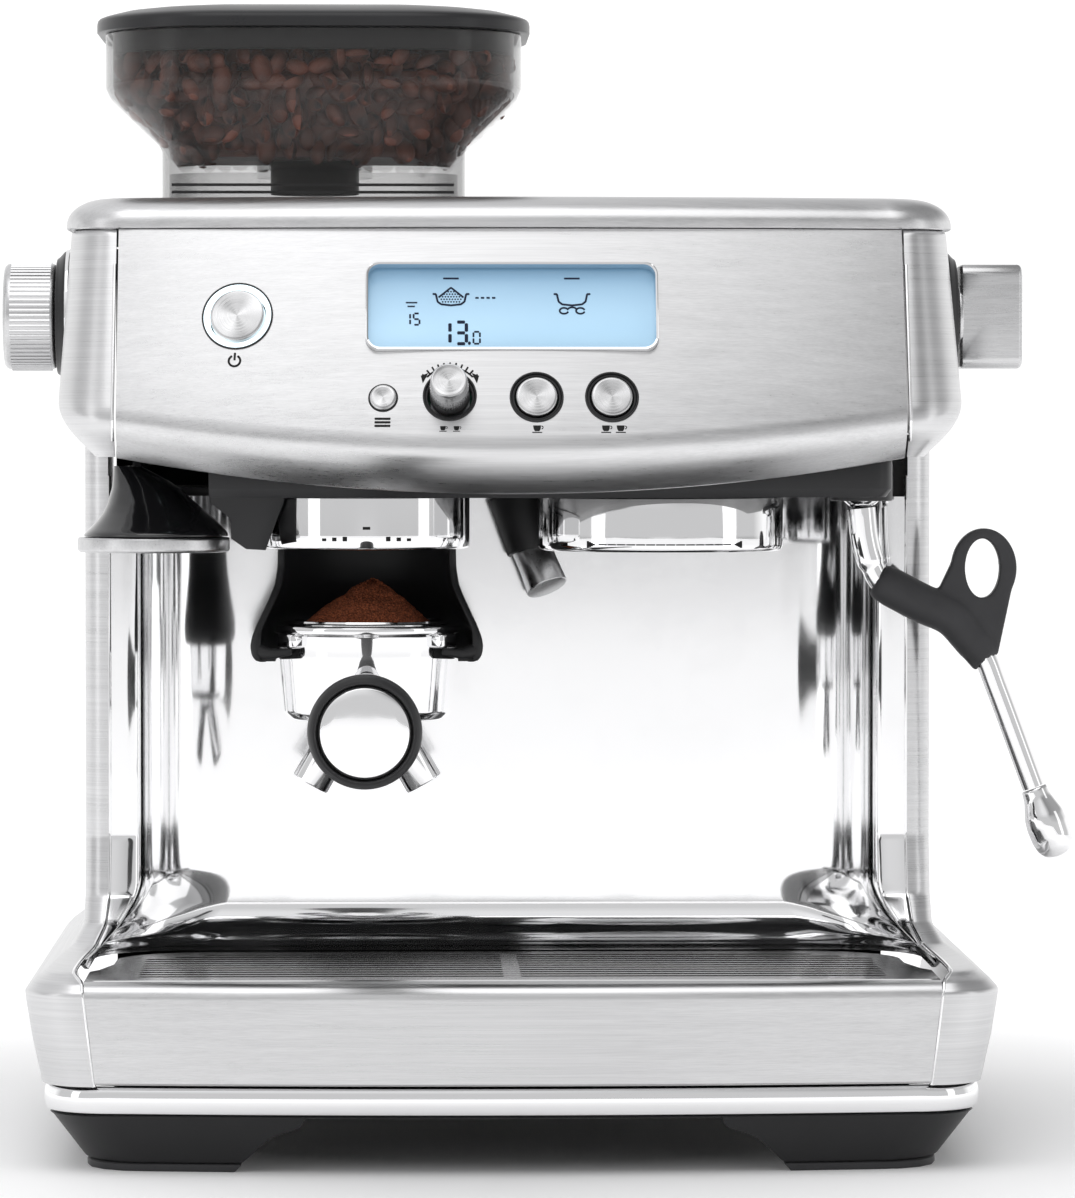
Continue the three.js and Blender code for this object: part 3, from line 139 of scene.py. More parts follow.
class Value:
    """A number that comes out of a socket; arithmetic on it adds Math nodes."""

    def __init__(self, graph, socket):
        self.graph, self.socket = graph, socket

    def math(self, operation, *others, clamp=False):
        node = self.graph.node("ShaderNodeMath", {"operation": operation, "use_clamp": clamp},
                               {i: other for i, other in enumerate((self, *others))})
        return Value(self.graph, node.outputs[0])

    def flipped(self, operation, other):
        node = self.graph.node("ShaderNodeMath", {"operation": operation}, {0: other, 1: self})
        return Value(self.graph, node.outputs[0])

    def __add__(self, other):
        return self.math("ADD", other)

    def __sub__(self, other):
        return self.math("SUBTRACT", other)

    def __mul__(self, other):
        return self.math("MULTIPLY", other)

    def __truediv__(self, other):
        return self.math("DIVIDE", other)

    def __pow__(self, other):
        return self.math("POWER", other)

    def __rsub__(self, other):
        return self.flipped("SUBTRACT", other)

    def __rtruediv__(self, other):
        return self.flipped("DIVIDE", other)

    __radd__, __rmul__ = __add__, __mul__

    def between(self, low, high):
        """0 at low, 1 at high, held outside."""
        return ((self - low) / (high - low)).math("ADD", 0.0, clamp=True)


class Graph:
    """Adds nodes to a shader or geometry tree."""

    def __init__(self, tree):
        self.tree = tree

    def node(self, kind, settings=None, values=None):
        node = self.tree.nodes.new(kind)
        for key, setting in (settings or {}).items():
            if key == "stops":
                ramp = node.color_ramp
                ramp.elements.remove(ramp.elements[1])
                for at, shade in setting[1:]:
                    ramp.elements.new(at).color = (*shade, 1)
                ramp.elements[0].position, ramp.elements[0].color = setting[0][0], (*setting[0][1], 1)
            else:
                setattr(node, key, setting)
        for key, given in (values or {}).items():
            if isinstance(given, Value):
                given = given.socket
            if isinstance(given, bpy.types.NodeSocket):
                self.tree.links.new(given, node.inputs[key])
            else:
                node.inputs[key].default_value = given
        return node


class Finish(Graph):
    """One material with a Principled BSDF, measured in millimetres about the casing's centre."""

    def __init__(self, name, **constants):
        self.material = bpy.data.materials.new(name)
        self.material.use_nodes = True
        super().__init__(self.material.node_tree)
        self.tree.nodes.clear()
        self.shader = self.node("ShaderNodeBsdfPrincipled")
        output = self.node("ShaderNodeOutputMaterial")
        self.tree.links.new(self.shader.outputs[0], output.inputs[0])
        self.output = output
        self.set(**constants)

    def set(self, **values):
        for key, given in values.items():
            socket = self.shader.inputs[key.replace("_", " ")]
            if isinstance(given, Value):
                self.tree.links.new(given.socket, socket)
            elif isinstance(given, bpy.types.NodeSocket):
                self.tree.links.new(given, socket)
            elif socket.type == "RGBA":
                socket.default_value = (*given[:3], 1)
            else:
                socket.default_value = given
        return self

    def place(self, scale=(1, 1, 1), centre=(0, 0, 0), turn=None):
        """Object coordinates in millimetres from a point of the machine, turned and then stretched."""
        at = CENTRE + Vector(centre) * MM
        coordinates = self.node("ShaderNodeTexCoord").outputs["Object"]
        shifted = self.node("ShaderNodeVectorMath", {"operation": "SUBTRACT"}, {0: coordinates, 1: at})
        vector = shifted.outputs[0]
        if turn is not None:
            vector = self.node("ShaderNodeMapping", {"vector_type": "POINT"},
                               {"Vector": vector, "Rotation": turn}).outputs[0]
        factors = [factor / MM for factor in scale]
        return self.node("ShaderNodeVectorMath", {"operation": "MULTIPLY"}, {0: vector, 1: factors}).outputs[0]

    def axis(self, vector, which):
        return Value(self, self.node("ShaderNodeSeparateXYZ", None, {0: vector}).outputs[which])

    def noise(self, vector, scale=1.0, detail=2.0, roughness=0.5):
        node = self.node("ShaderNodeTexNoise", None,
                         {"Vector": vector, "Scale": scale, "Detail": detail, "Roughness": roughness})
        return Value(self, node.outputs[0])

    def cells(self, vector, scale=1.0, feature="F1"):
        node = self.node("ShaderNodeTexVoronoi", {"feature": feature}, {"Vector": vector, "Scale": scale})
        return Value(self, node.outputs["Distance"])

    def mix(self, factor, first, second):
        node = self.node("ShaderNodeMix", {"data_type": "RGBA"})
        for index, given in ((0, factor), (6, first), (7, second)):
            socket = node.inputs[index]
            if isinstance(given, (Value, bpy.types.NodeSocket)):
                self.tree.links.new(given.socket if isinstance(given, Value) else given, socket)
            else:
                socket.default_value = given if index == 0 else (*given[:3], 1)
        return node.outputs[2]

    def bump(self, height, strength=0.3, depth=0.1):
        node = self.node("ShaderNodeBump", None,
                         {"Strength": strength, "Distance": depth * MM, "Height": height})
        self.set(Normal=node.outputs[0])
        return self


def tint(base, factor):
    return tuple(min(channel * factor, 1) for channel in base)


def brushed(name, base, along, grain, rough=0.3, centre=(0, 0, 0), turn=None):
    """Steel with brushing marks that run long where `along` is small."""
    made = Finish(name, Metallic=1.0)
    fine = made.noise(made.place(along, centre, turn), 1.0, 4, 0.65)
    wide = made.noise(made.place(tuple(a * 0.18 for a in along), centre, turn), 1.0, 3, 0.5)
    cloud = made.noise(made.place((0.008, 0.008, 0.012)), 1.0, 2, 0.5)
    marks = fine * 0.6 + wide * 0.4
    made.set(
        Base_Color=made.mix(marks.between(0.3, 0.7), tint(base, 0.86), tint(base, 1.12)),
        Roughness=rough + (marks - 0.5) * 0.22 + (cloud - 0.5) * 0.1,
    )
    return made.bump(marks, grain, 0.03)


def mirror_finish(name, base, rough):
    """Polished or plated metal with the faintest haze and waves."""
    made = Finish(name, Metallic=1.0, Base_Color=base)
    haze = made.noise(made.place((0.05, 0.05, 0.05)), 1.0, 4, 0.6)
    specks = made.noise(made.place((1.7, 1.7, 1.7)), 1.0, 2, 0.5)
    made.set(Roughness=rough + haze.between(0.45, 0.8) * 0.05 + specks.between(0.6, 0.8) * 0.03)
    return made.bump(made.noise(made.place((0.02, 0.02, 0.02)), 1.0, 1, 0.4), 0.12, 0.4)


def painted_fan_metal(name, base, centre, normal):
    """Turned metal: rings about the axis, with the bright and dark fans that they throw."""
    made = Finish(name, Metallic=1.0)
    turn = Vector(normal).rotation_difference(Vector((0, 0, 1))).to_euler()
    vector = made.place((1, 1, 1), centre, turn)
    x, y = made.axis(vector, 0), made.axis(vector, 1)
    radius = (x * x + y * y).math("SQRT")
    angle = y.math("ARCTAN2", x)
    ring = made.node("ShaderNodeCombineXYZ", None, {0: radius * 9.0, 1: angle * 0.25}).outputs[0]
    rings = made.noise(ring, 1.0, 3, 0.7)
    # Painted highlight and painted shade: bright and dark sectors by angle round the axis, mixed into the base
    # colour in place of the gleam of the turned rings.
    wide = ((angle * 2 + 0.9).math("SINE") * 0.5 + 0.5) * 0.7
    painted_fan_highlights = wide + ((angle * 5 - 0.4).math("SINE") * 0.5 + 0.5) * 0.3
    shade = made.mix(painted_fan_highlights, tint(base, 0.34), tint(base, 1.4))
    made.set(
        Base_Color=made.mix(rings.between(0.35, 0.65), shade, tint(base, 0.95)),
        Roughness=0.2 + rings * 0.18,
    )
    made.tree.nodes.active = made.shader
    return made.bump(rings, 0.25, 0.03)


def moulded(name, base, rough=0.46, texture=0.25):
    """Moulded plastic with a fine spark-eroded texture."""
    made = Finish(name, Specular_IOR_Level=0.3)
    grit = made.noise(made.place((3.2, 3.2, 3.2)), 1.0, 3, 0.6)
    cloud = made.noise(made.place((0.03, 0.03, 0.03)), 1.0, 2, 0.5)
    made.set(
        Base_Color=made.mix(cloud, tint(base, 0.85), tint(base, 1.25)),
        Roughness=rough + (cloud - 0.5) * 0.12 + (grit - 0.5) * 0.08,
    )
    return made.bump(grit, texture, 0.04)


def glossy(name, base, rough=0.12):
    """Gloss moulding with faint waves from the tool."""
    made = Finish(name, Coat_Weight=0.6, Coat_Roughness=0.04, Specular_IOR_Level=0.55)
    smear = made.noise(made.place((0.06, 0.06, 0.06)), 1.0, 4, 0.6)
    made.set(Base_Color=made.mix(smear, tint(base, 0.9), tint(base, 1.4)), Roughness=rough + smear * 0.06)
    return made.bump(smear, 0.06, 0.2)


def silicone(name, base):
    """Soft silicone: a dull bloom, dust in the fine texture."""
    made = Finish(name, Specular_IOR_Level=0.35, Sheen_Weight=0.15, Sheen_Roughness=0.4)
    grit = made.noise(made.place((2.4, 2.4, 2.4)), 1.0, 4, 0.7)
    bloom = made.noise(made.place((0.09, 0.09, 0.09)), 1.0, 3, 0.6)
    made.set(Base_Color=made.mix(bloom, tint(base, 0.8), tint(base, 1.5)), Roughness=0.5 + bloom * 0.15)
    return made.bump(grit, 0.2, 0.03)


def smoked(name, base, thin=0.2, edge=0.8):
    """Smoke-tinted clear plastic: clear where seen square on, darker and glossier at a glance."""
    made = Finish(name, Base_Color=base, Roughness=0.05, Coat_Weight=0.8, Coat_Roughness=0.02)
    facing = Value(made, made.node("ShaderNodeLayerWeight", None, {"Blend": 0.35}).outputs["Facing"])
    haze = made.noise(made.place((0.05, 0.05, 0.05)), 1.0, 3, 0.5)
    made.set(Alpha=(facing * (edge - thin) + thin + (haze - 0.5) * 0.06).math("ADD", 0.0, clamp=True))
    return made


def machined(name, base, rough=0.32):
    """Turned or ground steel inside the machine."""
    made = Finish(name, Metallic=1.0)
    marks = made.noise(made.place((0.3, 0.3, 4.0)), 1.0, 4, 0.6)
    stain = made.noise(made.place((0.04, 0.04, 0.04)), 1.0, 3, 0.6)
    made.set(Base_Color=made.mix(stain, tint(base, 0.8), tint(base, 1.15)), Roughness=rough + marks * 0.15)
    return made.bump(marks, 0.15, 0.05)


def cast_metal(name, base):
    """As-cast aluminium, grainy and dull."""
    made = Finish(name, Metallic=1.0)
    grain = made.cells(made.place((1.1, 1.1, 1.1)))
    stain = made.noise(made.place((0.05, 0.05, 0.05)), 1.0, 4, 0.6)
    made.set(Base_Color=made.mix(stain, tint(base, 0.75), tint(base, 1.1)), Roughness=0.45 + grain * 0.2)
    return made.bump(grain, 0.35, 0.15)


def roasted(name, base):
    """Roasted beans: each a little lighter or darker, oily, with fine wrinkles."""
    made = Finish(name, Specular_IOR_Level=0.6, Coat_Weight=0.25, Coat_Roughness=0.25)
    vector = made.place((0.11, 0.11, 0.11))
    lot = made.noise(vector, 1.0, 2, 0.5)
    wrinkle = made.noise(made.place((1.3, 1.3, 1.3)), 1.0, 3, 0.6)
    crease = Value(made, made.node("ShaderNodeAttribute", {"attribute_name": "crease"}).outputs["Fac"])
    body = made.mix(lot.between(0.3, 0.7), tint(base, 0.45), tint(base, 1.7))
    # Painted shade: the crease is mixed to a quarter of the bean's colour, where the slit would be shaded.
    made.set(
        Base_Color=made.mix(crease, body, tint(base, 0.25)),
        Roughness=0.34 + wrinkle * 0.2,
    )
    return made.bump(wrinkle, 0.35, 0.15)


def ground(name, base):
    """Ground coffee: coarse bright and dark particles."""
    made = Finish(name, Roughness=0.85, Specular_IOR_Level=0.25)
    particles = made.cells(made.place((1.35, 1.35, 1.35)))
    flecks = made.noise(made.place((2.6, 2.6, 2.6)), 1.0, 3, 0.8)
    # Painted shade: each cell of grounds is lighter in its middle and darker towards its edge, where the gaps
    # between grains would be shaded.
    shade = made.mix(particles.between(0.15, 0.75), tint(base, 1.35), tint(base, 0.22))
    made.set(Base_Color=made.mix(flecks.between(0.35, 0.62), tint(base, 0.5), shade))
    return made.bump(particles + flecks * 0.6, 0.9, 0.6)


def display_finish(name, low, high, bottom, top):
    """The lit display: pale below, deeper towards its upper edge."""
    made = Finish(name, Roughness=0.25, Emission_Strength=0.32)
    height = made.axis(made.place(), 2)
    rise = height.between(bottom, top)
    cloud = made.noise(made.place((0.03, 0.03, 0.05)), 1.0, 2, 0.5)
    shade = made.mix((rise ** 2.2 + (cloud - 0.5) * 0.12).math("ADD", 0.0, clamp=True), low, high)
    made.set(Base_Color=shade, Emission_Color=shade)
    return made


def lit(name, base, strength):
    made = Finish(name, Roughness=0.35, Emission_Strength=strength)
    uneven = made.noise(made.place((0.2, 0.2, 0.2)), 1.0, 2, 0.5)
    shade = made.mix(uneven, tint(base, 0.9), base)
    return made.set(Base_Color=shade, Emission_Color=shade)


def printed(name, base):
    """Ink, slightly uneven."""
    made = Finish(name, Specular_IOR_Level=0.3)
    uneven = made.noise(made.place((0.6, 0.6, 0.6)), 1.0, 3, 0.6)
    return made.set(Base_Color=made.mix(uneven, tint(base, 0.8), tint(base, 1.3)), Roughness=0.5 + uneven * 0.1)


def circuit(name):
    """Green board with copper tracks."""
    made = Finish(name, Specular_IOR_Level=0.5)
    tracks = made.cells(made.place((0.35, 0.35, 0.35)), 1.0, "DISTANCE_TO_EDGE")
    made.set(Base_Color=made.mix(tracks.between(0.02, 0.08), (0.10, 0.30, 0.14), (0.01, 0.09, 0.04)),
             Roughness=0.35 + tracks * 0.3)
    return made.bump(tracks, 0.2, 0.05)


FINISHES = {}


def finishes():
    """All materials, made once."""
    if FINISHES:
        return FINISHES
    scene = bpy.context.scene
    metal, plastic = scene.espresso_metal, scene.espresso_plastic
    coffee, controls = scene.espresso_coffee, scene.espresso_controls
    steel = tuple(metal.steel)
    grain = metal.grain
    made = {
        "wrapped": brushed("brushed_steel_wrapped", steel, (0.022, 0.022, 3.2), grain),
        "fascia": brushed("brushed_steel_fascia", steel, (0.02, 2.4, 3.0), grain, 0.30),
        "cover": brushed("brushed_steel_cover", steel, (0.02, 3.0, 3.0), grain, 0.32),
        "mirror": mirror_finish("polished_steel", tuple(metal.mirror), 0.075),
        "chrome": mirror_finish("chrome_plate", tuple(metal.chrome), 0.035),
        "satin": brushed("satin_steel", tuple(metal.satin), (1.4, 1.4, 1.4), grain * 0.5, 0.3),
        "knob": brushed("knob_steel", tuple(metal.satin), (0.1, 2.0, 2.0), grain * 0.6, 0.28),
        "grid": brushed("grid_steel", tint(metal.satin, 0.62), (0.03, 2.0, 2.0), grain, 0.2),
        "charcoal": moulded("charcoal_plastic", tuple(plastic.charcoal)),
        "dark": moulded("inner_black_plastic", tint(plastic.charcoal, 1.2), 0.34, 0.15),
        "lid": moulded("hopper_lid_plastic", tint(plastic.charcoal, 1.3), 0.3, 0.12),
        "gloss": glossy("gloss_black_plastic", tuple(plastic.gloss)),
        "silicone": silicone("black_silicone", tuple(plastic.silicone)),
        "smoke": smoked("smoked_clear_plastic", tuple(plastic.smoke)),
        "tank": smoked("tank_clear_plastic", tint(plastic.smoke, 0.5), 0.55, 0.92),
        "steel": machined("machined_steel", (0.42, 0.42, 0.43)),
        "cast": cast_metal("cast_aluminium", (0.50, 0.50, 0.51)),
        "bean": roasted("roasted_coffee", tuple(coffee.roast)),
        "grounds": ground("ground_coffee", tuple(coffee.grounds)),
        "ink": printed("display_ink", tuple(controls.ink)),
        "print": printed("panel_print", (0.004, 0.004, 0.004)),
        "ring_light": lit("ring_light", (0.80, 0.94, 1.0), 1.25),
        "board": circuit("circuit_board"),
    }
    FINISHES.update({key: look.material for key, look in made.items()})
    return FINISHES


# ---- Meshes: points in millimetres about the casing's centre --------------------------------------


def arc(centre, radii, start, stop, steps):
    """Points on an ellipse from start to stop degrees, both ends included."""
    turns = np.radians(np.linspace(start, stop, steps + 1))
    return np.stack([centre[0] + radii[0] * np.cos(turns), centre[1] + radii[1] * np.sin(turns)], 1)


def raised(outline, z):
    """A plan outline lifted to a height."""
    outline = np.asarray(outline, float)
    return np.column_stack([outline, np.full(len(outline), float(z))])


def loft(loops, capped=True, ring=False):
    """A skin through loops of equal count; closed by caps, or round on itself as a ring."""
    loops = [np.asarray(loop, float) for loop in loops]
    count = len(loops[0])
    faces = []
    last = len(loops) if ring else len(loops) - 1
    for i in range(last):
        low, high = i * count, ((i + 1) % len(loops)) * count
        for j in range(count):
            k = (j + 1) % count
            faces.append((low + j, low + k, high + k, high + j))
    if capped and not ring:
        faces.append(tuple(range(count))[::-1])
        faces.append(tuple(range((len(loops) - 1) * count, len(loops) * count)))
    return np.concatenate(loops), faces


def revolve(profile, centre=(0, 0, 0), segments=96, closed=False):
    """A turned shape about +Z from (radius, z) pairs, closed on the axis or on itself."""
    turns = np.linspace(0, 2 * math.pi, segments, endpoint=False)
    loops = []
    for radius, z in profile:
        loops.append(np.stack([radius * np.cos(turns), radius * np.sin(turns), np.full(segments, z)], 1))
    points, faces = loft(loops, capped=False, ring=closed)
    return points + np.asarray(centre, float), faces


def rounded(profile, radius, steps=4):
    """A (radius, z) profile with its inner corners rounded."""
    points = [np.asarray(p, float) for p in profile]
    out = [points[0]]
    for before, here, after in zip(points, points[1:], points[2:]):
        a, b = before - here, after - here
        reach = min(radius, np.linalg.norm(a) * 0.45, np.linalg.norm(b) * 0.45)
        start, end = here + a / np.linalg.norm(a) * reach, here + b / np.linalg.norm(b) * reach
        for t in np.linspace(0, 1, steps + 1):
            out.append((1 - t) ** 2 * start + 2 * t * (1 - t) * here + t * t * end)
    out.append(points[-1])
    return [tuple(p) for p in out]


def spline(points, steps=12):
    """A smooth curve through points, centripetal Catmull-Rom."""
    p = [np.asarray(q, float) for q in points]
    p = [2 * p[0] - p[1], *p, 2 * p[-1] - p[-2]]
    out = []
    for a, b, c, d in zip(p, p[1:], p[2:], p[3:]):
        t1 = np.linalg.norm(b - a) ** 0.5
        t2 = t1 + np.linalg.norm(c - b) ** 0.5
        t3 = t2 + np.linalg.norm(d - c) ** 0.5
        for t in np.linspace(t1, t2, steps, endpoint=False):
            ab = a * (t1 - t) / t1 + b * t / t1
            bc = b * (t2 - t) / (t2 - t1) + c * (t - t1) / (t2 - t1)
            cd = c * (t3 - t) / (t3 - t2) + d * (t - t2) / (t3 - t2)
            abc = ab * (t2 - t) / t2 + bc * t / t2
            bcd = bc * (t3 - t) / (t3 - t1) + cd * (t - t1) / (t3 - t1)
            out.append(abc * (t2 - t) / (t2 - t1) + bcd * (t - t1) / (t2 - t1))
    out.append(p[-2])
    return np.array(out)


def tube(path, radii, sides=28, round_ends=False):
    """A round tube along a path; radii is one number or one for each point."""
    path = np.asarray(path, float)
    radii = np.broadcast_to(np.asarray(radii, float), (len(path),))
    along = np.gradient(path, axis=0)
    along /= np.linalg.norm(along, axis=1)[:, None]
    side = np.cross(along[0], (0.3, 1.0, 0.2))
    loops = []
    for point, direction, radius in zip(path, along, radii):
        side = side - direction * np.dot(side, direction)
        side /= np.linalg.norm(side)
        up = np.cross(direction, side)
        turns = np.linspace(0, 2 * math.pi, sides, endpoint=False)[:, None]
        loops.append((point, direction, radius, side * np.cos(turns) + up * np.sin(turns)))
    rings = [point + radius * circle for point, direction, radius, circle in loops]
    if round_ends:
        caps = [(math.cos(t), math.sin(t)) for t in np.radians((80, 60, 40, 20))]
        point, direction, radius, circle = loops[0]
        front = [point - direction * radius * b * 0.5 + radius * a * circle for a, b in caps]
        point, direction, radius, circle = loops[-1]
        back = [point + direction * radius * b * 0.5 + radius * a * circle for a, b in reversed(caps)]
        rings = front + rings + back
    return loft(rings)


def block(low, high):
    x0, y0, z0 = low
    x1, y1, z1 = high
    base = [(x0, y0), (x1, y0), (x1, y1), (x0, y1)]
    return loft([raised(base, z0), raised(base, z1)])


def extruded(outline, z0, z1):
    return loft([raised(outline, z0), raised(outline, z1)])


def rounded_rectangle(half_x, half_y, corner, steps=8, centre=(0, 0)):
    quarters = []
    for sx, sy, start in ((1, 1, 0), (-1, 1, 90), (-1, -1, 180), (1, -1, 270)):
        at = (centre[0] + sx * (half_x - corner), centre[1] + sy * (half_y - corner))
        quarters.append(arc(at, (corner, corner), start, start + 90, steps))
    return np.concatenate(quarters)


def turned(shape, matrix):
    points, faces = shape
    m = np.array(matrix)
    return points @ m[:3, :3].T + m[:3, 3], faces


def flipped_x(shape):
    points, faces = shape
    return points * (-1, 1, 1), [face[::-1] for face in faces]


def joined(*shapes):
    points, faces, offset = [], [], 0
    for some_points, some_faces in shapes:
        points.append(np.asarray(some_points, float))
        faces += [tuple(i + offset for i in face) for face in some_faces]
        offset += len(some_points)
    return np.concatenate(points), faces


def facing(normal, centre, up=(0, 0, 1)):
    """The matrix that lays +Z along a normal at a point, with +Y as near to up as it can be."""
    z = Vector(normal).normalized()
    x = Vector(up).cross(z).normalized()
    y = z.cross(x)
    m = Matrix((x, y, z)).transposed().to_4x4()
    m.translation = Vector(centre)
    return m


# ---- Pieces ----------------------------------------------------------------------------------------


def mesh_object(name, shape, merge=0.0004):
    """An object from a shape, in metres in the row's frame, with its doubles merged and faces out."""
    points, faces = shape
    mesh = bpy.data.meshes.new(name)
    mesh.from_pydata((points * MM + np.array(CENTRE)).tolist(), [], [list(face) for face in faces])
    work = bmesh.new()
    work.from_mesh(mesh)
    bmesh.ops.remove_doubles(work, verts=work.verts, dist=merge * MM)
    bmesh.ops.dissolve_degenerate(work, edges=work.edges, dist=merge * MM)
    bmesh.ops.recalc_face_normals(work, faces=work.faces)
    work.to_mesh(mesh)
    work.free()
    made = bpy.data.objects.new(name, mesh)
    bpy.context.scene.collection.objects.link(made)
    return made


def applied(made):
    """Turns the object and its modifiers into a plain mesh."""
    graph = bpy.context.evaluated_depsgraph_get()
    graph.update()
    mesh = bpy.data.meshes.new_from_object(made.evaluated_get(graph))
    made.modifiers.clear()
    old, made.data = made.data, mesh
    mesh.name = made.name
    if old.users == 0:
        bpy.data.meshes.remove(old)
    return made


def cut(made, *shapes, operation="DIFFERENCE"):
    """Cuts shapes out of an object, or joins them on."""
    for shape in shapes:
        cutter = mesh_object("cutter", shape)
        modifier = made.modifiers.new("cut", "BOOLEAN")
        modifier.operation, modifier.solver, modifier.object = operation, "EXACT", cutter
        applied(made)
        bpy.data.objects.remove(cutter)
    return made


def softened(made, width, segments=3, angle=32):
    """Rounds the object's sharp edges."""
    work = bmesh.new()
    work.from_mesh(made.data)
    bmesh.ops.remove_doubles(work, verts=work.verts, dist=0.0004 * MM)
    bmesh.ops.dissolve_limit(work, angle_limit=math.radians(0.6), verts=work.verts, edges=work.edges)
    work.to_mesh(made.data)
    work.free()
    bevel = made.modifiers.new("edges", "BEVEL")
    bevel.width, bevel.segments = width * MM, segments
    bevel.limit_method, bevel.angle_limit = "ANGLE", math.radians(angle)
    bevel.use_clamp_overlap = True
    return applied(made)


def finish(made, material, body, slot, *nodes, angle=38):
    """Smooth shading, material, body and record slot; the piece stands for the CAD nodes named."""
    mesh = made.data
    for polygon in mesh.polygons:
        polygon.use_smooth = True
    mesh.set_sharp_from_angle(angle=math.radians(angle))
    mesh.materials.clear()
    mesh.materials.append(finishes()[material] if isinstance(material, str) else material)
    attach(made, body)
    if nodes:
        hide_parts(*nodes)
    return made


def piece(name, shape, material, body, slot, *nodes, cuts=(), soft=0.0, angle=38, segments=3):
    made = mesh_object(name, shape)
    if cuts:
        cut(made, *cuts)
    if soft:
        softened(made, soft, segments)
    return finish(made, material, body, slot, *nodes, angle=angle)


def refined(node, material, body, slot, soft=0.5, angle=38):
    """A copy of a CAD node with its edges rounded."""
    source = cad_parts[node]
    made = bpy.data.objects.new(node + "_fine", source.data.copy())
    bpy.context.scene.collection.objects.link(made)
    work = bmesh.new()
    work.from_mesh(made.data)
    bmesh.ops.remove_doubles(work, verts=work.verts, dist=0.002 * MM)
    work.to_mesh(made.data)
    work.free()
    softened(made, soft, 3, 28)
    return finish(made, material, body, slot, node, angle=angle)


def coat(node, material):
    """A CAD node whose shape is right keeps its mesh and gets a better material."""
    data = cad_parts[node].data
    data.materials.clear()
    data.materials.append(finishes()[material])


def smooth_track(levels, heights, window):
    """Each column of levels (z first) at the heights, rounded where the track bends."""
    levels = np.asarray(levels, float)
    fine = np.arange(levels[0, 0], levels[-1, 0] + 0.01, 0.2)
    out = []
    for column in range(1, levels.shape[1]):
        track = np.interp(fine, levels[:, 0], levels[:, column])
        size = max(int(window / 0.2) | 1, 3)
        padded = np.concatenate([np.full(size, track[0]), track, np.full(size, track[-1])])
        kernel = np.hanning(size + 2)[1:-1]
        blurred = np.convolve(padded, kernel / kernel.sum(), "same")[size:-size]
        edge = np.clip(np.minimum(fine - fine[0], fine[-1] - fine) / (window * 0.5), 0, 1)
        out.append(np.interp(heights, fine, blurred * edge + track * (1 - edge)))
    return np.array(out).T


# ---- Base ------------------------------------------------------------------------------------------

BASE_HALF, BASE_FOOT_HALF, BASE_FRONT, BASE_BACK = 158.0, 146.5, -168.0, 171.5
BASE_BOW, BASE_CORNER = 8.0, 22.0


def plan(half, front, back, bow, corner, back_corner, steps=16):
    """A whole plan outline with a bowed front."""
    flat = half - corner
    xs = np.linspace(0, flat, 15)[1:]
    bowed = np.stack([xs, front + bow * (xs / flat) ** 2], 1)
    turn = np.radians(np.linspace(0, 90, steps + 1))[1:]
    corner_points = np.stack([flat + corner * np.sin(turn), front + bow + corner * (1 - np.cos(turn))], 1)
    back_points = arc((half - back_corner, back - back_corner), (back_corner, back_corner), 0, 90, steps)
    right = np.concatenate([bowed, corner_points, back_points])
    return np.concatenate([[(0, front)], right, right[::-1] * (-1, 1)])


def footprint(half, inset=0.0):
    shrink = BASE_HALF - half + inset
    corner = max(BASE_CORNER - inset, 8)
    return plan(half - inset, BASE_FRONT + shrink * 0.6, BASE_BACK - shrink * 0.6, BASE_BOW, corner, corner)


def make_base():
    levels = [(BASE_FOOT_HALF - 1.2, 3.0), (BASE_FOOT_HALF, 3.8), (BASE_HALF - 1.0, 18.6),
              (BASE_HALF, 19.4), (BASE_HALF - 0.8, 20.0), (152.4, 20.0), (152.4, 29.4)]
    shell = loft([raised(footprint(half), z) for half, z in levels])
    side = spline([(94.5, -4, 0), (94.5, 0.4, 0), (89.6, 5.4, 0), (82.8, 11.7, 0), (76.9, 14.3, 0),
                   (72.5, 16, 0), (71, 18.2, 0), (70.8, 19.4, 0)], 6)[:, :2]
    profile = np.concatenate([side, side[::-1] * (-1, 1)])
    lengthwise = turned(extruded(profile, -220, 220), Matrix.Rotation(math.pi / 2, 4, "X"))
    strip = block((-170, -106, -1), (170, 116.5, 19.3))
    piece("base_plinth_fine", shell, "charcoal", "casing", "black", "base_plinth", cuts=(lengthwise, strip),
          soft=0.5)
    for corner in ("front_left", "front_right", "rear_left", "rear_right"):
        refined("foot_pad_" + corner, "silicone", "casing", "rubber", 0.5)


def make_trim():
    low, high = 20.4, 29.6
    middle, half_height = (low + high) / 2, (high - low) / 2
    section = []
    for turn in np.radians(np.linspace(-90, 90, 19)):
        section.append((160 - 2.2 * (1 - math.cos(turn) ** 0.7), middle + half_height * math.sin(turn)))
    section += [(153.2, high), (153.2, low)]
    rings = [raised(footprint(half) if half > 153.5 else footprint(half), z) for half, z in section]
    piece("chrome_trim_fine", loft(rings, ring=True), "chrome", "casing", "chrome", "chrome_trim", angle=50)


# ---- Casing ----------------------------------------------------------------------------------------

COLUMN = [
    (30, -164, 142.1, 160.5, 22), (46, -165, 144.2, 163.9, 22), (58, -165, 145.6, 165.9, 22),
    (61.5, -165, 146, 166.3, 22), (65, -162, 146.3, 163.2, 22), (66.6, -157, 148.5, 160.9, 22),
    (68.2, -155, 149.5, 158.9, 20), (69.1, -125, 148.5, 157.3, 16), (71.4, -97, 145.3, 153.3, 12),
    (78, -84, 142.2, 149.7, 10), (88, -76, 141.2, 149.5, 9), (108, -72, 141, 149.5, 9),
    (250, -72, 141, 149.5, 9),
]
COLUMN_SOFTNESS = 2.4
COLUMN_EDGE_TOP = 244
COLUMN_HEIGHTS = np.unique(np.concatenate([
    np.linspace(30, 56, 14), np.linspace(56, 74, 61), np.linspace(74, 112, 48), np.linspace(112, 250, 30)]))


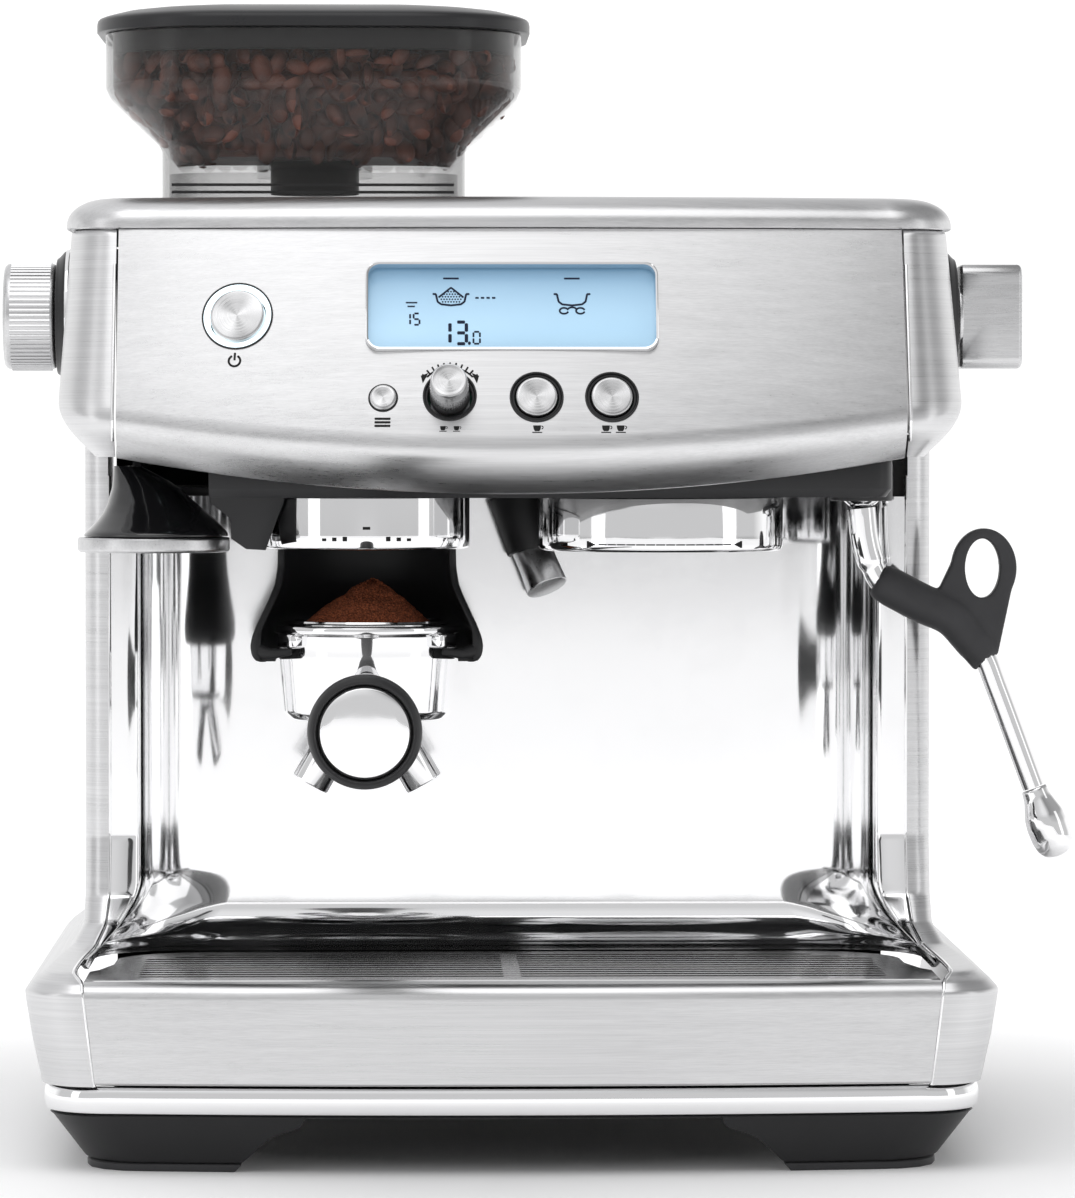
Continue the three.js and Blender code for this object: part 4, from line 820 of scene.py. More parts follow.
def wall(seam, front, side, depth, back, thick, steps=14):
    """A panel's wall in plan: from the front seam, round the corner, to the back, +X side."""
    turn = np.radians(np.linspace(0, 90, steps + 1))[1:]

    def line(inset):
        reach = side - inset - seam
        corner = np.stack([seam + reach * np.sin(turn),
                           front + inset + (depth - inset) * (1 - np.cos(turn))], 1)
        return np.concatenate([[(seam, front + inset)], corner, [(side - inset, back)]])

    return np.concatenate([line(0), line(thick)[::-1]])


def column_shape():
    track = smooth_track(COLUMN, COLUMN_HEIGHTS, COLUMN_SOFTNESS)
    loops = []
    for z, (front, inner, outer, depth) in zip(COLUMN_HEIGHTS, track):
        loops.append(raised(wall(inner, front, outer, depth, 112, 2), z))
    return loft(loops)


def make_side_panels():
    right = column_shape()
    for side, shape in (("right", right), ("left", flipped_x(right))):
        piece(f"side_panel_{side}_fine", shape, "wrapped", "casing", "brushed", "side_panel_" + side,
              angle=40)
        sign = 1 if side == "right" else -1
        edge_track = smooth_track(COLUMN, COLUMN_HEIGHTS, COLUMN_SOFTNESS)
        keep = COLUMN_HEIGHTS <= COLUMN_EDGE_TOP
        line = [(sign * (inner - 0.2), front + 0.9, z)
                for z, (front, inner, *_) in zip(COLUMN_HEIGHTS[keep], edge_track[keep])]
        piece(f"column_edge_{side}", tube(np.array(line[::2]), 0.85, 10), "chrome", "casing", "polished")


def bay_line(half, front, back, corner, thick, wall_x, steps=18):
    """The liner in plan: a soft flange at the front edge, a side wall, a round corner and the back."""
    def line(out):
        lean = np.radians(np.linspace(0, 90, 9))
        strip = np.stack([wall_x + out + (half - wall_x) * (1 - np.sin(lean)),
                          front + 2.5 * (1 - np.cos(lean))], 1)
        turn = np.radians(np.linspace(0, 90, steps + 1))
        curve = np.stack([wall_x - corner + (corner + out) * np.cos(turn),
                          back - corner + (corner + out) * np.sin(turn)], 1)
        right = np.concatenate([strip, curve])
        return np.concatenate([right, right[::-1] * (-1, 1)])

    return np.concatenate([line(thick), line(0)[::-1]])


def make_bay():
    low, roof = 65.9, 228.3
    cove_height, cove_reach, cove_foot = 14, 19, 33
    narrow, narrow_from, narrow_over = 130.5, 67, 26
    turn = np.radians(np.linspace(0, 90, 24))
    cove = np.concatenate([[low], low + 0.2 + cove_height * (1 - np.cos(turn))])
    reach = np.concatenate([[cove_foot], cove_reach * (1 - np.sin(turn))])
    heights = np.unique(np.round(np.concatenate([cove, COLUMN_HEIGHTS[COLUMN_HEIGHTS > 80], [roof]]), 3))
    heights = heights[heights <= roof]
    track = smooth_track(COLUMN, heights, COLUMN_SOFTNESS)
    loops = []
    for z, (front, inner, *_) in zip(heights, track):
        half = inner - 1.8
        fade = min(max((z - narrow_from) / narrow_over, 0), 1)
        wall_x = half - (half - narrow) * fade * fade * (3 - 2 * fade)
        back = -12 - np.interp(z, cove, reach)
        loops.append(raised(bay_line(half, max(front, -119) + 1, back, 34, 1.4, wall_x), z))
    piece("backsplash_fine", loft(loops), "mirror", "casing", "polished", "backsplash", angle=45)


def make_rear():
    refined("rear_cover", "charcoal", "casing", "black", 0.5)
    refined("power_inlet", "silicone", "casing", "rubber", 0.5)
    screws = []
    for x, z in ((-138, 44), (138, 70), (-138, 308), (138, 308)):
        head = revolve([(0, 0.1), (1.1, 0.1), (1.3, 0.9), (3.1, 0.7), (3.4, 0.0), (3.4, -0.6), (0, -0.6)],
                       segments=24)
        screws.append(turned(head, facing((0, 1, 0), (x, 112, z))))
    piece("rear_screws", joined(*screws), "steel", "casing", "steel")


# ---- Head ------------------------------------------------------------------------------------------

HEAD_TOP, HEAD_FRONT, HEAD_BOW, SEAM = 321.0, -128.0, 14.0, 135.5
HEAD_SLOPE = math.tan(math.radians(22))


def across(x):
    return (x / SEAM) ** 2


def crease_z(x):
    return 243.5 + 9.5 * across(x)


def lip_z(x):
    return 230.5 + 12.2 * across(x)


def fascia_y(x, z):
    return HEAD_FRONT + HEAD_BOW * across(x) - (HEAD_TOP - z) * HEAD_SLOPE


def fascia_profile(x, steps=14):
    """The fascia's section at x as (y, z), from its top edge over the crease to its lower lip."""
    blend, tuck = 7, 12
    turn = np.array((fascia_y(x, crease_z(x)), crease_z(x)))
    start = np.array((fascia_y(x, crease_z(x) + blend), crease_z(x) + blend))
    end = np.array((turn[0] + tuck, lip_z(x)))
    near = turn + (end - turn) * blend / np.linalg.norm(end - turn)
    t = np.linspace(0, 1, steps + 1)[:, None]
    bend = (1 - t) ** 2 * start + 2 * t * (1 - t) * turn + t * t * near
    top = np.array((fascia_y(x, HEAD_TOP), HEAD_TOP))
    upper = top + (start - top) * np.linspace(0, 1, 6)[:-1, None]
    return np.concatenate([upper, bend, [end]])


def fascia_normal(x):
    return Vector((2 * HEAD_BOW * x / SEAM ** 2, -1, HEAD_SLOPE)).normalized()


def on_fascia(x, z, out=0.0):
    """Places a shape made about the origin on the fascia, facing out."""
    normal = fascia_normal(x)
    at = Vector((x, fascia_y(x, z), z)) + normal * out
    return facing(normal, at)


KEYS = {
    "power_button": (-93.8, 290.8, 9.4, 12.3), "menu_button": (-44, 262.8, 4.6, 5.1),
    "one_cup_button": (8.1, 263.1, 7.1, 9.2), "two_cup_button": (33.7, 263.1, 7.1, 9.2),
}
DIAL = (-21.4, 263.5)
SCREEN = (50.0, 16.25, 294.2)


def section_with_lips(line, thick):
    """A sheet's closed section with small rounded edges at both ends."""
    inner = line + (thick, 0)
    top = (line[0] + inner[0]) / 2 + (0, 0.35)
    foot = (line[-1] + inner[-1]) / 2 - (0, 0.35)
    return np.concatenate([line, [foot], inner[::-1], [top]])


def make_fascia():
    half = SEAM - 0.35
    loops = []
    for x in np.linspace(-half, half, 121):
        section = section_with_lips(fascia_profile(x), 2.0)
        loops.append(np.column_stack([np.full(len(section), x), section]))
    holes = [turned(revolve([(0, -14), (hole, -14), (hole, 14), (0, 14)], segments=72), on_fascia(x, z))
             for x, z, _, hole in KEYS.values()]
    holes.append(turned(revolve([(0, -14), (9.2, -14), (9.2, 14), (0, 14)], segments=72), on_fascia(*DIAL)))
    window = extruded(rounded_rectangle(SCREEN[0], SCREEN[1], 4.6, 10), -14, 14)
    holes.append(turned(window, on_fascia(0, SCREEN[2])))
    made = mesh_object("front_fascia_fine", loft(loops))
    cut(made, *holes)
    finish(made, "fascia", "casing", "brushed", "front_fascia", angle=30)


def ring_section(inner, outer, low, high, soft=0.3):
    """A ring's closed (radius, z) section with rounded upper edges."""
    return [(inner, low), (outer, low), (outer, high - soft), (outer - soft * 0.3, high - soft * 0.3),
            (outer - soft, high), (inner + soft, high), (inner + soft * 0.3, high - soft * 0.3),
            (inner, high - soft)]


def button_cap(radius, low, high):
    return revolve([(0, low), (radius, low), (radius, high - 0.7), (radius - 0.15, high - 0.3),
                    (radius - 0.5, high), (radius - 1.1, high + 0.05), (radius * 0.5, high - 0.12),
                    (0, high - 0.2)], segments=72)


def make_buttons():
    base = tuple(bpy.context.scene.espresso_metal.satin)
    for name, (x, z, radius, _) in KEYS.items():
        place = on_fascia(x, z)
        metal = painted_fan_metal("spun_" + name, base, (x, fascia_y(x, z), z), fascia_normal(x)).material
        piece(name + "_fine", turned(button_cap(radius, -6, 1.2), place), metal, name, "satin", name)
    x, z = KEYS["power_button"][:2]
    place = on_fascia(x, z)
    ring = revolve(ring_section(9.9, 11.7, -4, 0.35), segments=96, closed=True)
    piece("power_light_ring_fine", turned(ring, place), "ring_light", "casing", "light", "power_light_ring")
    bezel = revolve(ring_section(11.7, 12.3, -3, 0.5, 0.2), segments=96, closed=True)
    piece("power_bezel", turned(bezel, place), "dark", "casing", "chrome")
    for name in ("one_cup_button", "two_cup_button"):
        x, z = KEYS[name][:2]
        well = joined(
            revolve(ring_section(7.5, 8.5, -5, -0.2, 0.3), segments=80, closed=True),
            revolve(ring_section(8.5, 9.2, -5, 0.55, 0.3), segments=80, closed=True),
        )
        piece(name + "_surround", turned(well, on_fascia(x, z)), "dark", "casing", "black")
    x, z = KEYS["menu_button"][:2]
    thin = revolve(ring_section(4.72, 5.1, -4, 0.3, 0.15), segments=64, closed=True)
    piece("menu_bezel", turned(thin, on_fascia(x, z)), "dark", "casing", "black")


def ribbed(count, radius, low, high, width, depth, centre_matrix, name, material_name):
    """Ribs round an axis, made by nodes: a ring of points, each with one rounded rib."""
    tree = bpy.data.node_groups.new(name + "_nodes", "GeometryNodeTree")
    graph = Graph(tree)
    sockets = {}
    for label, kind in (
        ("Ribs", "NodeSocketInt"), ("Ring radius", "NodeSocketFloat"), ("Rib length", "NodeSocketFloat"),
        ("Rib width", "NodeSocketFloat"), ("Material", "NodeSocketMaterial"),
    ):
        sockets[label] = tree.interface.new_socket(name=label, in_out="INPUT", socket_type=kind)
    tree.interface.new_socket(name="Geometry", in_out="OUTPUT", socket_type="NodeSocketGeometry")
    given = graph.node("NodeGroupInput")
    ring = graph.node("GeometryNodeMeshCircle", None,
                      {"Vertices": given.outputs["Ribs"], "Radius": given.outputs["Ring radius"]})
    rib = graph.node("GeometryNodeMeshCylinder", {"fill_type": "NGON"},
                     {"Vertices": 6, "Radius": given.outputs["Rib width"],
                      "Depth": given.outputs["Rib length"]})
    instances = graph.node("GeometryNodeInstanceOnPoints", None,
                           {"Points": ring.outputs[0], "Instance": rib.outputs["Mesh"]})
    real = graph.node("GeometryNodeRealizeInstances", None, {0: instances.outputs[0]})
    painted = graph.node("GeometryNodeSetMaterial", None,
                         {"Geometry": real.outputs[0], "Material": given.outputs["Material"]})
    output = graph.node("NodeGroupOutput")
    tree.links.new(painted.outputs[0], output.inputs[0])
    mesh = bpy.data.meshes.new(name)
    made = bpy.data.objects.new(name, mesh)
    bpy.context.scene.collection.objects.link(made)
    modifier = made.modifiers.new("ribs", "NODES")
    modifier.node_group = tree
    values = {"Ribs": count, "Ring radius": radius * MM, "Rib length": (high - low) * MM,
              "Rib width": width * MM, "Material": finishes()[material_name]}
    for label, setting in values.items():
        modifier[sockets[label].identifier] = setting
    applied(made)
    matrix = centre_matrix @ Matrix.Translation((0, 0, (low + high) / 2))
    matrix = Matrix.Translation(CENTRE) @ Matrix.Translation(matrix.translation * MM) @ \
        matrix.to_3x3().to_4x4()
    made.data.transform(matrix)
    return made


def make_dial():
    x, z = DIAL
    place = on_fascia(x, z)
    base = tuple(bpy.context.scene.espresso_metal.satin)
    metal = painted_fan_metal("spun_dial", base, (x, fascia_y(x, z), z), fascia_normal(x)).material
    body = revolve(rounded([(0, -1), (6.9, -1), (6.55, 3), (6.3, 13.3), (5.9, 14.4), (4.9, 14.2), (0, 14.1)],
                           0.5), segments=96)
    piece("dial_cap_fine", turned(body, place), metal, "dial_cap", "satin", "dial_cap")
    ribs = ribbed(bpy.context.scene.espresso_controls.dial_ribs, 6.35, -0.8, 8.6, 0.26, 0.2, place,
                  "dial_ribs", "knob")
    finish(ribs, "knob", "dial_cap", "satin", angle=30)
    well = joined(
        revolve(ring_section(7.6, 8.5, -5, -0.3, 0.3), segments=80, closed=True),
        revolve(ring_section(8.5, 9.2, -5, 0.55, 0.3), segments=80, closed=True),
    )
    piece("dial_surround", turned(well, place), "dark", "casing", "black")
    coat("dial_stem", "steel")


SEGMENTS = {
    "0": "abcdef", "1": "bc", "2": "abged", "3": "abgcd", "4": "fgbc", "5": "afgcd", "6": "afgedc",
    "7": "abc", "8": "abcdefg", "9": "abcdfg",
}


def digit(figure, x, z, width, height, bar):
    """Seven-segment bars as plan outlines on the screen."""
    lines = {
        "a": ((0, height), (width, height)), "b": ((width, height), (width, height / 2)),
        "c": ((width, height / 2), (width, 0)), "d": ((0, 0), (width, 0)),
        "e": ((0, height / 2), (0, 0)), "f": ((0, height), (0, height / 2)),
        "g": ((0, height / 2), (width, height / 2)),
    }
    return [stroke((x + lines[s][0][0], z + lines[s][0][1]), (x + lines[s][1][0], z + lines[s][1][1]), bar, bar)
            for s in SEGMENTS[figure]]


def stroke(start, end, width, trim=0.0):
    """A thin flat bar between two points of a panel, as a flat solid."""
    a, b = np.array(start, float), np.array(end, float)
    along = (b - a) / np.linalg.norm(b - a)
    side = np.array((-along[1], along[0])) * width / 2
    a, b = a + along * trim * 0.55, b - along * trim * 0.55
    tip = along * width * 0.4
    outline = [a + side, a - tip * 0.5, a - side, b - side, b + tip * 0.5, b + side]
    return extruded(outline, 0, 0.12)


def polyline(points, width):
    return [stroke(a, b, width) for a, b in zip(points, points[1:])]


def make_display():
    controls = bpy.context.scene.espresso_controls
    half, half_height, z = SCREEN
    bottom, top = z - half_height, z + half_height
    face = display_finish("display_face", tuple(controls.sky), tuple(controls.dusk), bottom, top - 1).material
    place = on_fascia(0, z, -3.2)
    plate = loft([raised(rounded_rectangle(half - 0.1 - r, half_height - 0.1 - r, 4.5, 10), h)
                  for r, h in ((0, -2.2), (0, -0.2), (0.2, 0))])
    piece("display_face", turned(plate, place), face, "casing", "lens", "lcd_window")
    frame_ring = []
    for inset, height in ((0.05, -2.6), (0.05, 0.6), (0.35, 0.75), (0.9, 0.55), (1.0, -2.6)):
        frame_ring.append(raised(rounded_rectangle(half - inset, half_height - inset, 4.6 - inset * 0.5, 12),
                                 height))
    piece("display_bezel", turned(loft(frame_ring, ring=True), on_fascia(0, z)), "chrome", "casing", "polished")
    ink = []
    basket = [(-6.2, 3.4), (-5.2, 3.4), (-4.6, 0.6), (-3.4, -0.4), (0, -0.8), (3.4, -0.4), (4.6, 0.6),
              (5.2, 3.4), (6.2, 3.4)]
    for centre in (-20.8, 20.6):
        ink += polyline([(centre + u, v + 2.4) for u, v in basket], 0.68)
    heap = [(-20.8 + u, 2.6 + v) for u, v in ((-4.2, 2.0), (0, 5.6), (4.2, 2.0))]
    ink += polyline(heap, 0.62)
    for row in range(5):
        for column in range(-4, 5):
            u, v = column * 0.95 + (row % 2) * 0.48, row * 0.95 + 0.4
            if abs(u) < 4.3 - max(v - 2.0, 0) * 1.25 and abs(u) < 3.6 + v * 0.3:
                ink.append(extruded(arc((-20.8 + u, 2.5 + v), (0.3, 0.3), 0, 315, 7), 0, 0.12))
    for centre in (17.8, 23.4):
        ink += polyline(arc((centre, -0.4), (1.5, 1.1), 20, 340, 12), 0.62)
    ink += polyline(arc((20.6, -0.2), (1.6, 1.1), 30, 150, 8), 0.62)
    for figure, x in (("1", -24.8), ("3", -19.2)):
        ink += digit(figure, x, -12.6, 3.6, 8.0, 1.15)
    ink.append(extruded(arc((-14.6, -12.4), (0.5, 0.62), 0, 330, 11), 0, 0.12))
    ink += digit("0", -13.2, -12.6, 2.2, 4.4, 0.62)
    ink += digit("1", -36.6, -5.6, 1.8, 4.2, 0.62)
    ink += digit("5", -33.6, -5.6, 2.0, 4.2, 0.62)
    ink += polyline([(-35.6, 1.2), (-33.2, 1.2)], 0.5) + polyline([(-36.2, 2.6), (-32.4, 2.6)], 0.5)
    ink += polyline([(-23.4, 11.6), (-18.2, 11.6)], 0.62) + polyline([(18.0, 11.6), (23.2, 11.6)], 0.62)
    for index in range(4):
        ink += polyline([(-12.4 + index * 1.9, 4.4), (-11.4 + index * 1.9, 4.4)], 0.62)
    piece("display_symbols", turned(joined(*ink), place), "ink", "casing", "lens")
    coat("control_board", "board")


def cup(x, z, size):
    """A small cup seen from the side, as flat solids."""
    bowl = [(-0.9, 0.7), (0.9, 0.7), (0.8, -0.2), (0.5, -0.7), (-0.5, -0.7), (-0.8, -0.2)]
    outline = [(x + u * size, z + v * size) for u, v in bowl]
    saucer = [(x - 1.1 * size, z - 1.0 * size), (x + 1.1 * size, z - 1.0 * size)]
    handle = arc((x + 0.95 * size, z + 0.2 * size), (0.4 * size, 0.36 * size), -80, 80, 6)
    return [extruded(outline, 0, 0.08), *polyline(saucer, 0.22 * size), *polyline(handle, 0.2 * size)]


def panel_marks(name, marks, x, z):
    piece(name, turned(joined(*marks), on_fascia(x, z, -0.02)), "print", "casing", "black")


def make_panel_marks():
    x, z = KEYS["power_button"][:2]
    power = polyline(arc((0, -16.5), (2.0, 2.0), 120, 420, 20), 0.75) + polyline([(0, -16.2), (0, -13.6)], 0.75)
    panel_marks("power_mark", power, x, z)
    x, z = KEYS["menu_button"][:2]
    bars = [bar for level in (-7.6, -8.9, -10.2) for bar in polyline([(-2.6, level), (2.6, level)], 0.8)]
    panel_marks("menu_mark", bars, x, z)
    panel_marks("one_cup_mark", cup(0, -11.4, 1.5), *KEYS["one_cup_button"][:2])
    panel_marks("two_cup_mark", cup(-2.4, -11.4, 1.5) + cup(2.6, -11.4, 1.5), *KEYS["two_cup_button"][:2])
    sweep = []
    for turn in range(40, 141, 10):
        a, b = math.cos(math.radians(turn)), math.sin(math.radians(turn))
        sweep += polyline([(10.6 * a, 10.6 * b), (12.2 * a, 12.2 * b)], 0.6)
    for side in (-1, 1):
        tip = [(side * 9.2, 4.6), (side * 7.4, 8.4), (side * 9.9, 7.4)]
        sweep.append(extruded(tip if side < 0 else tip[::-1], 0, 0.08))
    sweep += polyline(arc((0, 0), (10.4, 10.4), 42, 138, 24), 0.6)
    sweep += cup(-2.2, -11.8, 1.1) + cup(2.4, -11.8, 1.1)
    panel_marks("dial_marks", sweep, *DIAL)


def cheek_half(z):
    if z > 262:
        return 156 + (152.5 - 156) * (z - 262) / (HEAD_TOP - 262)
    foot = lip_z(SEAM)
    return 143.5 + (156 - 143.5) * math.sin((z - foot) / (262 - foot) * math.pi / 2)


def make_cheeks():
    section = fascia_profile(SEAM, 24)
    heights = np.linspace(section[-1, 1], HEAD_TOP, 90)
    front = np.interp(heights, section[::-1, 1], section[::-1, 0])
    loops = []
    for y, z in zip(front, heights):
        soft = max(0.0, 1 - (HEAD_TOP - z) / 1.2) ** 2
        loops.append(raised(wall(SEAM + 0.35, y + soft * 0.8, cheek_half(z) - soft * 0.8, 24, 112, 2, 20), z))
    right = loft(loops)
    for side, shape in (("right", right), ("left", flipped_x(right))):
        sign = 1 if side == "right" else -1
        low_x, high_x = sorted((sign * 128, sign * 172))
        notch = block((low_x, -76, 200), (high_x, 140, 250.4))
        bore = turned(revolve([(0, 120), (6, 120), (6, 175), (0, 175)], segments=48),
                      facing((sign, 0, 0), (0, -40, 292.3)))
        made = mesh_object(f"head_cheek_{side}_fine", shape)
        cut(made, notch, bore)
        finish(made, "wrapped", "casing", "brushed", "head_cheek_" + side, angle=35)
        bead = [(sign * (SEAM + 0.85), y + 0.25, z) for y, z in section[1:-1]]
        piece(f"cheek_bead_{side}", tube(np.array(bead), 0.6, 10), "chrome", "casing", "brushed")


def make_cover():
    bottom, height, roll = HEAD_TOP + 0.4, 11.0, 14.0

    def outline(inset):
        return plan(154.2 - inset, -130 + inset, 112, 14, 24 - inset / 2, 6, 20)

    loops = [raised(outline(0.4), bottom), raised(outline(0), bottom + 0.4)]
    for turn in np.radians(np.linspace(0, 90, 15)):
        z = bottom + 1.5 + (height - 1.5) * math.sin(turn)
        loops.append(raised(outline(roll * (1 - math.cos(turn))), z))
    made = mesh_object("top_cover_fine", loft(loops))
    inside = loft([raised(outline(3), bottom - 1), raised(outline(8), bottom + height - 4)])
    mouth = revolve([(0, bottom - 1), (33.4, bottom - 1), (33.4, bottom + 20), (0, bottom + 20)],
                    (-69, -5, 0), 96)
    recess = extruded(rounded_rectangle(56, 96, 10, 10, (80, 0)), bottom + height - 2, bottom + height + 2)
    cut(made, inside, mouth, recess)
    finish(made, "cover", "casing", "brushed", "top_cover", angle=35)
    mat_lines = [block((26 + 5 * i, -92, bottom + height - 2), (28 + 5 * i, 92, bottom + height - 1.2))
                 for i in range(22)]
    piece("cup_warmer_ribs", joined(*mat_lines), "satin", "casing", "satin", soft=0.25, segments=2)


def make_underside():
    refined("head_underside", "dark", "casing", "black", 0.5)


# ---- Hopper and beans ------------------------------------------------------------------------------

HOPPER = (-69.0, -5.0)
HOPPER_LEVELS = [(332.9, 54.2, 25), (351, 54.2, 25), (353.5, 55.2, 25.7), (370, 72.6, 43.6),
                 (373.4, 74.2, 44.9), (376, 74.3, 45), (393.2, 74.3, 45)]


def hopper_loop(half, corner, z, inset=0.0):
    return raised(rounded_rectangle(half - inset, half - inset, max(corner - inset, 3), 14, HOPPER), z)


def hopper_at(z):
    table = np.array(HOPPER_LEVELS)
    return np.interp(z, table[:, 0], table[:, 1]), np.interp(z, table[:, 0], table[:, 2])


def make_hopper():
    thick, floor = 2.6, 343.0
    outside = [hopper_loop(half, corner, z) for z, half, corner in HOPPER_LEVELS]
    outside[-1:] = [hopper_loop(74.3, 45, 392.6), hopper_loop(74.3, 45, 393.2, 0.6)]
    inside = [hopper_loop(74.3, 45, 393.2, thick - 0.5), hopper_loop(74.3, 45, 392.4, thick)]
    for z, half, corner in HOPPER_LEVELS[-2:0:-1]:
        inside.append(hopper_loop(half, corner, z + 0.6, thick))
    inside.append(hopper_loop(54.2, 25, floor + thick + 3, thick + 0.4))
    inside.append(hopper_loop(54.2, 25, floor + thick, thick + 3))
    made = mesh_object("hopper_bowl_fine", loft([hopper_loop(54.2, 25, floor), *outside[1:], *inside]))
    skirt = [hopper_loop(54.2, 25, z, inset) for z, inset in
             ((331.4, 0.4), (331.8, 0), (floor + 0.2, 0), (floor + 0.2, thick), (331.8, thick),
              (331.4, thick - 0.4))]
    cut(made, loft(skirt, ring=True), operation="UNION")
    cut(made, revolve([(0, 335), (21, 335), (21, 352), (0, 352)], (*HOPPER, 0), 72))
    finish(made, "smoke", "hopper", "smoked", "hopper_bowl", angle=40)
    ribs = [block((HOPPER[0] - 50, HOPPER[1] - 51.4 + 0.2, 333 + 2.6 * i),
                  (HOPPER[0] + 50, HOPPER[1] - 50.8, 334 + 2.6 * i))
            for i in range(3)]
    piece("hopper_neck_ribs", joined(*ribs), "dark", "hopper", "black")


def make_hopper_lid():
    edge = 393.6
    half, corner = 77.3, 48.0
    rim = [(-8, 6.2), (-7.6, 5.9), (-0.4, 5.9), (-0.4, 0.6), (-0.1, 0.0), (0.5, -0.0), (2.6, 0.0), (3.8, 0.25),
           (4.6, 1.0), (5.4, 3.0), (6.2, 6.0)]
    dome = [(7.2, 10), (8.2, 18), (9.2, 30), (10.0, 44), (10.5, 58), (10.7, 70)]
    loops = [raised(rounded_rectangle(half - inset, half - inset, max(corner - inset * 0.9, 4), 14, HOPPER),
                    edge + up) for up, inset in rim + dome]
    made = mesh_object("hopper_lid_fine", loft(loops))
    inner = loft([raised(rounded_rectangle(half - 8.6, half - 8.6, corner - 8, 12, HOPPER), edge - 10),
                  raised(rounded_rectangle(half - 8.6, half - 8.6, corner - 8, 12, HOPPER), edge + 0.6)])
    cut(made, inner)
    finish(made, "lid", "hopper_lid", "black", "hopper_lid", angle=40)
    refined("hopper_lock", "charcoal", "hopper_lock", "black", 0.8)


def bean_mesh(length):
    """One bean along X with a crease down its flat side; a few dozen faces."""
    across_steps, along_steps = 10, 7
    points, crease = [], []
    for i in range(along_steps + 1):
        u = math.pi * i / along_steps
        for j in range(across_steps):
            v = 2 * math.pi * j / across_steps
            x, y, z = -math.cos(u) * 0.5, math.sin(u) * math.cos(v) * 0.36, math.sin(u) * math.sin(v) * 0.30
            deep = z > 0.12 and abs(y) < 0.09
            z = min(z, 0.17)
            crease.append(1.0 if deep else 0.0)
            points.append((x, y, z - (0.11 if deep else 0)))
    faces = []
    for i in range(along_steps):
        for j in range(across_steps):
            k = (j + 1) % across_steps
            a, b = i * across_steps, (i + 1) * across_steps
            faces.append((a + j, a + k, b + k, b + j))
    mesh = bpy.data.meshes.new("bean")
    mesh.from_pydata([tuple(c * length for c in p) for p in points], [], faces)
    mark = mesh.attributes.new("crease", "FLOAT", "POINT")
    mark.data.foreach_set("value", crease)
    work = bmesh.new()
    work.from_mesh(mesh)
    bmesh.ops.remove_doubles(work, verts=work.verts, dist=length * 0.004)
    bmesh.ops.recalc_face_normals(work, faces=work.faces)
    work.to_mesh(mesh)
    work.free()
    made = bpy.data.objects.new("bean", mesh)
    bpy.context.scene.collection.objects.link(made)
    return made


def bean_places(spacing, seed, fill=383.5):
    """Points near the hopper's wall and top surface, no two closer than the spacing."""
    rng = np.random.default_rng(seed)
    cell, kept = {}, []
    deep, clear = 9.5, 6.2
    tries = rng.random((90000, 3))
    for a, b, c in tries:
        z = 350 + (fill + 1.5 - 350) * c
        half, corner = hopper_at(z)
        x, y = (a * 2 - 1) * (half - clear), (b * 2 - 1) * (half - clear)
        inner = corner - clear
        over = math.hypot(max(abs(x) - (half - corner), 0), max(abs(y) - (half - corner), 0))
        if over > inner:
            continue
        to_wall = min(half - clear - abs(x), half - clear - abs(y), inner - over if over else 99)
        if to_wall > deep and z < fill - 7 - 3 * math.cos(x * 0.05) * math.cos(y * 0.06):
            continue
        key = (int(x // spacing), int(y // spacing), int(z // spacing))
        near = [cell.get((key[0] + i, key[1] + j, key[2] + k), ()) for i in (-1, 0, 1) for j in (-1, 0, 1)
                for k in (-1, 0, 1)]
        if any((x - p[0]) ** 2 + (y - p[1]) ** 2 + (z - p[2]) ** 2 < spacing ** 2
               for group in near for p in group):
            continue
        cell.setdefault(key, []).append((x, y, z))
        kept.append((HOPPER[0] + x, HOPPER[1] + y, z))
    return np.array(kept)


